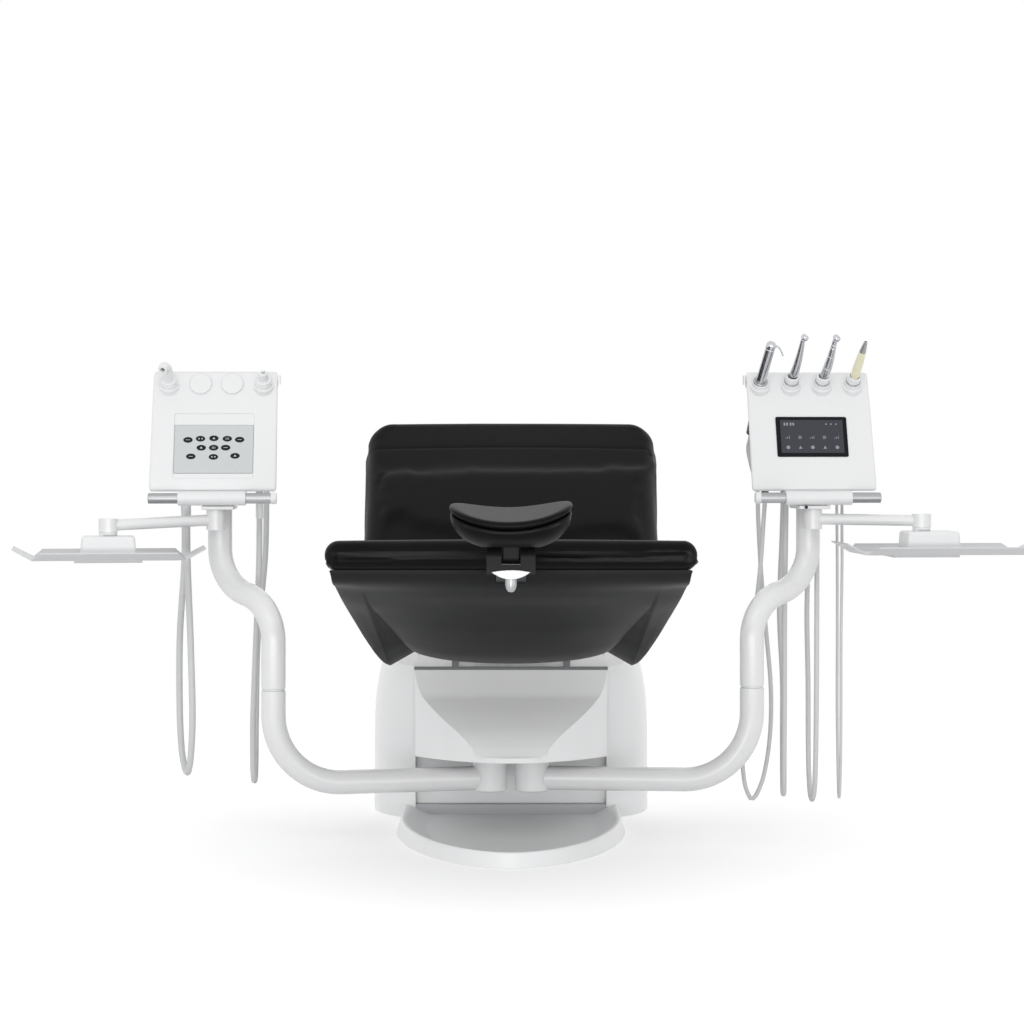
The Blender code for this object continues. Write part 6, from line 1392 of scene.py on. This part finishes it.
def holderCup(name, side, index, lean):
    # soft ring round the foot of the handle
    t = instrumentSpec
    r, h = t["cup"], t["cupHeight"]
    profile = [(r - 0.0030, -0.003), (r - 0.0006, -0.003), (r, -0.001), (r - 0.0002, h * 0.7),
               (r - 0.0010, h * 0.93), (r - 0.0022, h), (r - 0.0034, h - 0.0006), (r - 0.0038, h - 0.003)]
    soft = softened(profile + profile[:1], 0.0006, 2)[:-1]
    piece = meshOf(name, [turnedSurface(soft, sides=64, closed=True)], holderMatrix(side, index, lean),
                   sharp=50.0)
    return dress(piece, "whitePlastic", "console_" + side)


t = instrumentSpec
tip = tubeSurface(smoothCurve(t["tipPath"], count=t["tipSteps"]),
                  np.interp(np.linspace(0, 1, t["tipSteps"]), *t["tipRadii"]), 20)
handle("syringe_handle", "right", 0, "brightSteel", "console_right", "syringe", "syringe")
tipPiece = meshOf("syringe_tip", [tip], holderMatrix("right", 0, t["lean"]["syringe"]), sharp=50.0)
dress(tipPiece, "brightSteel", "console_right")
holderTail("syringe_tail", "right", 0, "satinMetal")


def drillHead(radius, height, place, tilt):
    # small drum across the end of the neck, with a raised button and a ring of the chuck
    half = height / 2
    profile = [(0.0003, -half - 0.0008), (radius * 0.34, -half - 0.0008), (radius * 0.40, -half),
               (radius * 0.84, -half), (radius * 0.97, -half * 0.80), (radius, -half * 0.5),
               (radius, half * 0.45), (radius * 0.95, half * 0.72), (radius * 0.80, half * 0.88),
               (radius * 0.74, half * 0.88), (radius * 0.72, half * 1.0), (radius * 0.60, half * 1.10),
               (radius * 0.30, half * 1.16), (0.0003, half * 1.17)]
    axis = (math.sin(tilt), -math.cos(tilt), 0.18)
    return turnedSurface(softened(profile, 0.0008, 3), place, axis, 56)


head = drillHead(0.0066, 0.0124, (0.0026, -0.0010, 0.1150), 0.35)
handle("turbine_handle", "right", 1, "brightSteel", "console_right", "turbine_handpiece", "turbine",
       extra=(head,), curve=t["curve"])
head = drillHead(0.0068, 0.0130, (0.0020, -0.0010, 0.1140), 0.25)
handle("angle_handle", "right", 2, "brightSteel", "console_right", "angle_handpiece", "angle", extra=(head,),
       curve=t["curve"])
handle("scaler_handle", "right", 3, "creamPlastic", "console_right", "scaler_handpiece", "scaler")
handle("scaler_nose", "right", 3, "satinMetal", "console_right", None, "scaler", 48, t["scalerTip"])
for name, index in (("turbine", 1), ("angle", 2), ("scaler", 3)):
    holderTail(name + "_tail", "right", index, "satinMetal")
    holderCup(name + "_cup", "right", index, t["lean"][name])

path = smoothCurve(t["suctionPath"], count=t["suctionSteps"])
slimming = np.interp(np.linspace(0, 1, t["suctionSteps"]), *t["suctionSlimming"])
outer = tubeSurface(path, slimming * t["suction"], 56)
nozzle = meshOf("suction_elbow", [outer], holderMatrix("left", 0), sharp=50.0)
mouth = (path[-1] - path[-2]) / np.linalg.norm(path[-1] - path[-2])
route = np.vstack([path[-1:] + mouth * 0.006, path[::-1][:20]])
boreTool = meshOf("bore.tool", [tubeSurface(route, t["suctionBore"], 40)], holderMatrix("left", 0))
carve(nozzle, [boreTool])
roundedAfterCut(nozzle, 0.0, sharp=48.0)
dress(nozzle, "whitePlastic", "console_left", ("suction_nozzle",))
# black sleeve a little way inside the bore, painted shade that darkens the nozzle's mouth
boreShade = meshOf("suction_bore_shade", [tubeSurface(path[::-1][7:19], t["suctionBore"] - 0.0002, 32)],
                holderMatrix("left", 0), sharp=60.0)
dress(boreShade, "blackShell", "console_left")
holderTail("suction_tail", "left", 0, "whitePlastic")
handle("ejector_handle", "left", 3, "whitePlastic", "console_left", "ejector_nozzle", "ejector")
holderTail("ejector_tail", "left", 3, "whitePlastic")
print("instruments made")


# Tray arms, blocks and sheets

for side in signs:
    refined("tray_arm_" + side, "whitePaint", "tray_arm_" + side, 0.0, 2, 35.0, 35.0)
    refined("tray_block_" + side, "whitePlastic", "tray_" + side, 0.0, 2, 35.0, 35.0)
    refined("tray_" + side, "trayCoat", "tray_" + side, 0.0004, 2, 50.0, 30.0)
print("trays made")


# Hoses: one smooth curve each, from the console's underside to its instrument's tail

hoseSpec = {
    "suction_hose": (0.0135, (
        (-0.6562, 0.0170, 0.7057), (-0.6562, 0.0170, 0.6711), (-0.6553, 0.0180, 0.5621),
        (-0.6493, 0.0190, 0.4034), (-0.6456, 0.0210, 0.2546), (-0.6496, 0.0290, 0.1703),
        (-0.6565, 0.0480, 0.1366), (-0.6621, 0.0710, 0.1297), (-0.6694, 0.0940, 0.1366),
        (-0.6783, 0.1150, 0.1733), (-0.6833, 0.1240, 0.2546), (-0.6833, 0.1270, 0.4034),
        (-0.6740, 0.1290, 0.5621), (-0.6755, 0.1290, 0.6811), (-0.6875, 0.1210, 0.7505),
        (-0.6915, 0.1008, 0.7892), (-0.6910, 0.0839, 0.8079), (-0.6907, 0.0708, 0.8224))),
    "ejector_hose": (0.0120, (
        (-0.5093, 0.0170, 0.7057), (-0.5093, 0.0170, 0.6711), (-0.5104, 0.0180, 0.5621),
        (-0.5166, 0.0190, 0.4034), (-0.5226, 0.0210, 0.2447), (-0.5236, 0.0290, 0.1555),
        (-0.5236, 0.0480, 0.1203), (-0.5236, 0.0700, 0.1128), (-0.5246, 0.0930, 0.1203),
        (-0.5256, 0.1140, 0.1555), (-0.5256, 0.1230, 0.2447), (-0.5221, 0.1270, 0.4034),
        (-0.5078, 0.1290, 0.5621), (-0.5048, 0.1300, 0.6811), (-0.5045, 0.1310, 0.7505),
        (-0.5013, 0.1057, 0.7892), (-0.5008, 0.0888, 0.8079), (-0.5005, 0.0758, 0.8224))),
    "syringe_hose": (0.0090, (
        (0.5193, 0.0723, 0.7057), (0.5193, 0.0723, 0.6865), (0.5164, 0.0743, 0.6421),
        (0.5094, 0.0803, 0.5374), (0.4938, 0.0883, 0.4051), (0.4779, 0.0953, 0.2767),
        (0.4740, 0.1023, 0.1879), (0.4799, 0.1123, 0.1089), (0.4908, 0.1243, 0.0753),
        (0.4977, 0.1323, 0.0680), (0.5076, 0.1393, 0.0753), (0.5244, 0.1463, 0.1187),
        (0.5367, 0.1513, 0.1977), (0.5387, 0.1553, 0.2965), (0.5280, 0.1583, 0.4249),
        (0.5188, 0.1603, 0.5374), (0.5134, 0.1623, 0.6421), (0.5112, 0.1633, 0.7063),
        (0.4986, 0.1613, 0.7567), (0.4917, 0.1528, 0.7893), (0.4937, 0.1361, 0.8080),
        (0.4953, 0.1231, 0.8225))),
    "turbine_hose": (0.0110, (
        (0.5625, 0.0753, 0.7057), (0.5625, 0.0753, 0.6816), (0.5616, 0.0763, 0.6026),
        (0.5599, 0.0793, 0.4545), (0.5599, 0.0833, 0.3064), (0.5599, 0.0893, 0.1780),
        (0.5609, 0.1013, 0.1089), (0.5619, 0.1173, 0.0832), (0.5624, 0.1313, 0.0781),
        (0.5629, 0.1453, 0.0832), (0.5639, 0.1633, 0.1128), (0.5648, 0.1753, 0.1879),
        (0.5653, 0.1793, 0.3064), (0.5592, 0.1813, 0.4545), (0.5646, 0.1833, 0.6026),
        (0.5665, 0.1813, 0.7014), (0.5590, 0.1793, 0.7547), (0.5549, 0.1577, 0.7893),
        (0.5569, 0.1410, 0.8080), (0.5585, 0.1280, 0.8225))),
    "angle_hose": (0.0105, (
        (0.6264, 0.0783, 0.7057), (0.6264, 0.0783, 0.6856), (0.6264, 0.0803, 0.6026),
        (0.6264, 0.0833, 0.4545), (0.6261, 0.0863, 0.3064), (0.6251, 0.0923, 0.1582),
        (0.6241, 0.1043, 0.0940), (0.6221, 0.1183, 0.0713), (0.6211, 0.1303, 0.0666),
        (0.6201, 0.1423, 0.0713), (0.6192, 0.1583, 0.0940), (0.6182, 0.1713, 0.1582),
        (0.6182, 0.1773, 0.3064), (0.6162, 0.1803, 0.4545), (0.6208, 0.1833, 0.6026),
        (0.6219, 0.1833, 0.7014), (0.6195, 0.1813, 0.7567), (0.6182, 0.1627, 0.7893),
        (0.6202, 0.1460, 0.8080), (0.6218, 0.1330, 0.8225))),
    "scaler_hose": (0.0062, (
        (0.6779, 0.0823, 0.7057), (0.6779, 0.0823, 0.6915), (0.6788, 0.0903, 0.6569),
        (0.6806, 0.1053, 0.6026), (0.6814, 0.1123, 0.5434), (0.6799, 0.1153, 0.4051),
        (0.6799, 0.1173, 0.2570), (0.6799, 0.1223, 0.1484), (0.6794, 0.1313, 0.0921),
        (0.6794, 0.1413, 0.0728), (0.6794, 0.1503, 0.0691), (0.6799, 0.1593, 0.0728),
        (0.6804, 0.1713, 0.0921), (0.6804, 0.1813, 0.1484), (0.6799, 0.1873, 0.2570),
        (0.6805, 0.1893, 0.4051), (0.6806, 0.1903, 0.5434), (0.6798, 0.1903, 0.6421),
        (0.6790, 0.1873, 0.7112), (0.6806, 0.1853, 0.7586), (0.6814, 0.1677, 0.7893),
        (0.6834, 0.1510, 0.8080), (0.6850, 0.1380, 0.8225))),
}
# sections in offsets from the hose's radius and down from the console: long sleeves on the left,
# short tapered reliefs on the right
reliefSpec = {
    "left": {"finish": "whitePlastic", "section": ((0.0001, -0.0005), (0.0016, -0.0005), (0.0016, 0.0550),
                                                   (0.0010, 0.0562), (0.0001, 0.0565))},
    "right": {"finish": "greyRubber", "section": ((0.0001, -0.0005), (0.0030, -0.0005), (0.0030, 0.004),
                                                  (0.0022, 0.006), (0.0008, 0.024), (0.0001, 0.0255))},
}
for name, (diameter, route) in hoseSpec.items():
    side = "left" if name in ("suction_hose", "ejector_hose") else "right"
    points = smoothCurve(route, spacing=0.009)
    curve = bpy.data.curves.new(name + "_line", "CURVE")
    curve.dimensions = "3D"
    spline = curve.splines.new("POLY")
    spline.points.add(len(points) - 1)
    spline.points.foreach_set("co", np.column_stack([points, np.ones(len(points))]).ravel())
    curve.bevel_depth = diameter / 2
    curve.bevel_resolution = 8
    curve.use_fill_caps = True
    curve.materials.append(finishes["greyHose"])
    hose = linked(name + "_line", curve)
    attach(hose, "console_" + side)
    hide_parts(name)
    profile = [(diameter / 2 + grow, down) for grow, down in reliefSpec[side]["section"]]
    ring = turnedSurface(profile, route[0], (0, 0, -1), 40, closed=True)
    relief = meshOf(name + "_relief", [ring], sharp=40.0)
    dress(relief, reliefSpec[side]["finish"], "console_" + side)
print("hoses made")


# Floor, backdrop and light

stageSpec = {"floor": 14.0, "worldLight": 0.86, "white": 1.0, "nearGlow": 0.34, "bounce": 0.8,
             "fade": (1.3, 2.8), "floorColour": (0.84, 0.84, 0.845), "rough": 0.85}


def directlySeen(tree):
    # 1 where a camera, glossy or see-through ray arrives
    rays = tree.nodes.new("ShaderNodeLightPath")
    seen = mathNode(tree, "MAXIMUM", rays.outputs["Is Camera Ray"], rays.outputs["Is Glossy Ray"])
    return mathNode(tree, "MAXIMUM", seen, rays.outputs["Is Transmission Ray"])


def backdropMaterial():
    # near the object: pale colour plus a glow that camera, glossy and see-through rays find;
    # further out, by distance from the origin, it goes over to white glow alone
    material, tree, shader = emptyMaterial("floorWhite")
    shader.inputs["Roughness"].default_value = stageSpec["rough"]
    shader.inputs["Specular IOR Level"].default_value = 0.0
    place = tree.nodes.new("ShaderNodeTexCoord")
    reach = tree.nodes.new("ShaderNodeVectorMath")
    reach.operation = "LENGTH"
    tree.links.new(place.outputs["Object"], reach.inputs[0])
    far = tree.nodes.new("ShaderNodeMapRange")
    far.interpolation_type = "SMOOTHSTEP"
    far.inputs["From Min"].default_value = stageSpec["fade"][0]
    far.inputs["From Max"].default_value = stageSpec["fade"][1]
    tree.links.new(reach.outputs["Value"], far.inputs["Value"])
    driftColour(tree, shader, far.outputs["Result"], stageSpec["floorColour"], (0.0, 0.0, 0.0))
    near = stageSpec["nearGlow"]
    glow = mathNode(tree, "MULTIPLY_ADD", far.outputs["Result"], stageSpec["white"] - near, near)
    bounce = mathNode(tree, "MULTIPLY", far.outputs["Result"], stageSpec["bounce"])
    pick = mathNode(tree, "MULTIPLY", directlySeen(tree), mathNode(tree, "SUBTRACT", glow, bounce))
    shader.inputs["Emission Color"].default_value = (1, 1, 1, 1)
    tree.links.new(mathNode(tree, "ADD", bounce, pick), shader.inputs["Emission Strength"])
    return material


floorMesh = bpy.data.meshes.new("floor_sheet")
half = stageSpec["floor"]
floorMesh.from_pydata([(-half, -half, 0), (half, -half, 0), (half, half, 0), (-half, half, 0)], [],
                      [(0, 1, 2, 3)])
floorMesh.materials.append(backdropMaterial())
floorPiece = linked("floor_sheet", floorMesh)

world = bpy.data.worlds.new("studio")
bpy.context.scene.world = world
world.use_nodes = True
tree = world.node_tree
tree.nodes.clear()
end = tree.nodes.new("ShaderNodeOutputWorld")
light = tree.nodes.new("ShaderNodeBackground")
seenLight = tree.nodes.new("ShaderNodeBackground")
mix = tree.nodes.new("ShaderNodeMixShader")
light.inputs["Color"].default_value = (1.0, 1.0, 1.0, 1.0)
light.inputs["Strength"].default_value = stageSpec["worldLight"]
seenLight.inputs["Color"].default_value = (1.0, 1.0, 1.0, 1.0)
seenLight.inputs["Strength"].default_value = stageSpec["white"]
tree.links.new(directlySeen(tree), mix.inputs[0])
tree.links.new(light.outputs[0], mix.inputs[1])
tree.links.new(seenLight.outputs[0], mix.inputs[2])
tree.links.new(mix.outputs[0], end.inputs[0])

lampSpec = {
    "key": {"place": (-0.3, -2.7, 2.0), "aim": (0.0, -0.3, 0.2), "size": (2.6, 0.7), "power": 12.0},
    "front": {"place": (0.0, -4.6, 0.28), "aim": (0.0, 0.0, 0.35), "size": (5.0, 0.5), "power": 52.0},
    "back": {"place": (0.6, 3.4, 2.6), "aim": (0.0, 0.0, 0.7), "size": (3.0, 1.6), "power": 8.0}}
# strip lights that only the black pads and shells reflect
gleamSpec = {
    "overhead": {"place": (0.0, -6.2, 1.5), "aim": (0.0, -0.8, 0.6), "size": (5.0, 0.8), "power": 420.0},
    "right": {"place": (3.4, -2.4, 0.5), "aim": (0.2, -0.5, 0.5), "size": (0.9, 1.4), "power": 130.0},
    "left": {"place": (-3.4, -2.4, 0.5), "aim": (-0.2, -0.5, 0.5), "size": (0.9, 1.4), "power": 60.0}}
blackPieces = bpy.data.collections.new("black_pieces")
for piece in list(bpy.context.scene.objects):
    worn = piece.data.materials if piece.type == "MESH" else ()
    if worn and worn[0].name in ("blackLeather", "blackShell"):
        blackPieces.objects.link(piece)
for name, spec in {**lampSpec, **gleamSpec}.items():
    lamp = bpy.data.lights.new(name + "_light", "AREA")
    lamp.shape = "RECTANGLE"
    lamp.size, lamp.size_y = spec["size"]
    lamp.energy = spec["power"]
    holder = linked(name + "_light", lamp)
    holder.location = spec["place"]
    out = np.array(spec["place"]) - np.array(spec["aim"])
    out /= np.linalg.norm(out)
    side = np.cross([0.0, 0.02, 1.0], out)
    side /= np.linalg.norm(side)
    up = np.cross(out, side)
    holder.rotation_euler = mathutils.Matrix(np.stack([side, up, out], 1).tolist()).to_euler()
    if name in gleamSpec:
        holder.light_linking.receiver_collection = blackPieces
        holder.visible_diffuse = False
print("stage and lamps made")
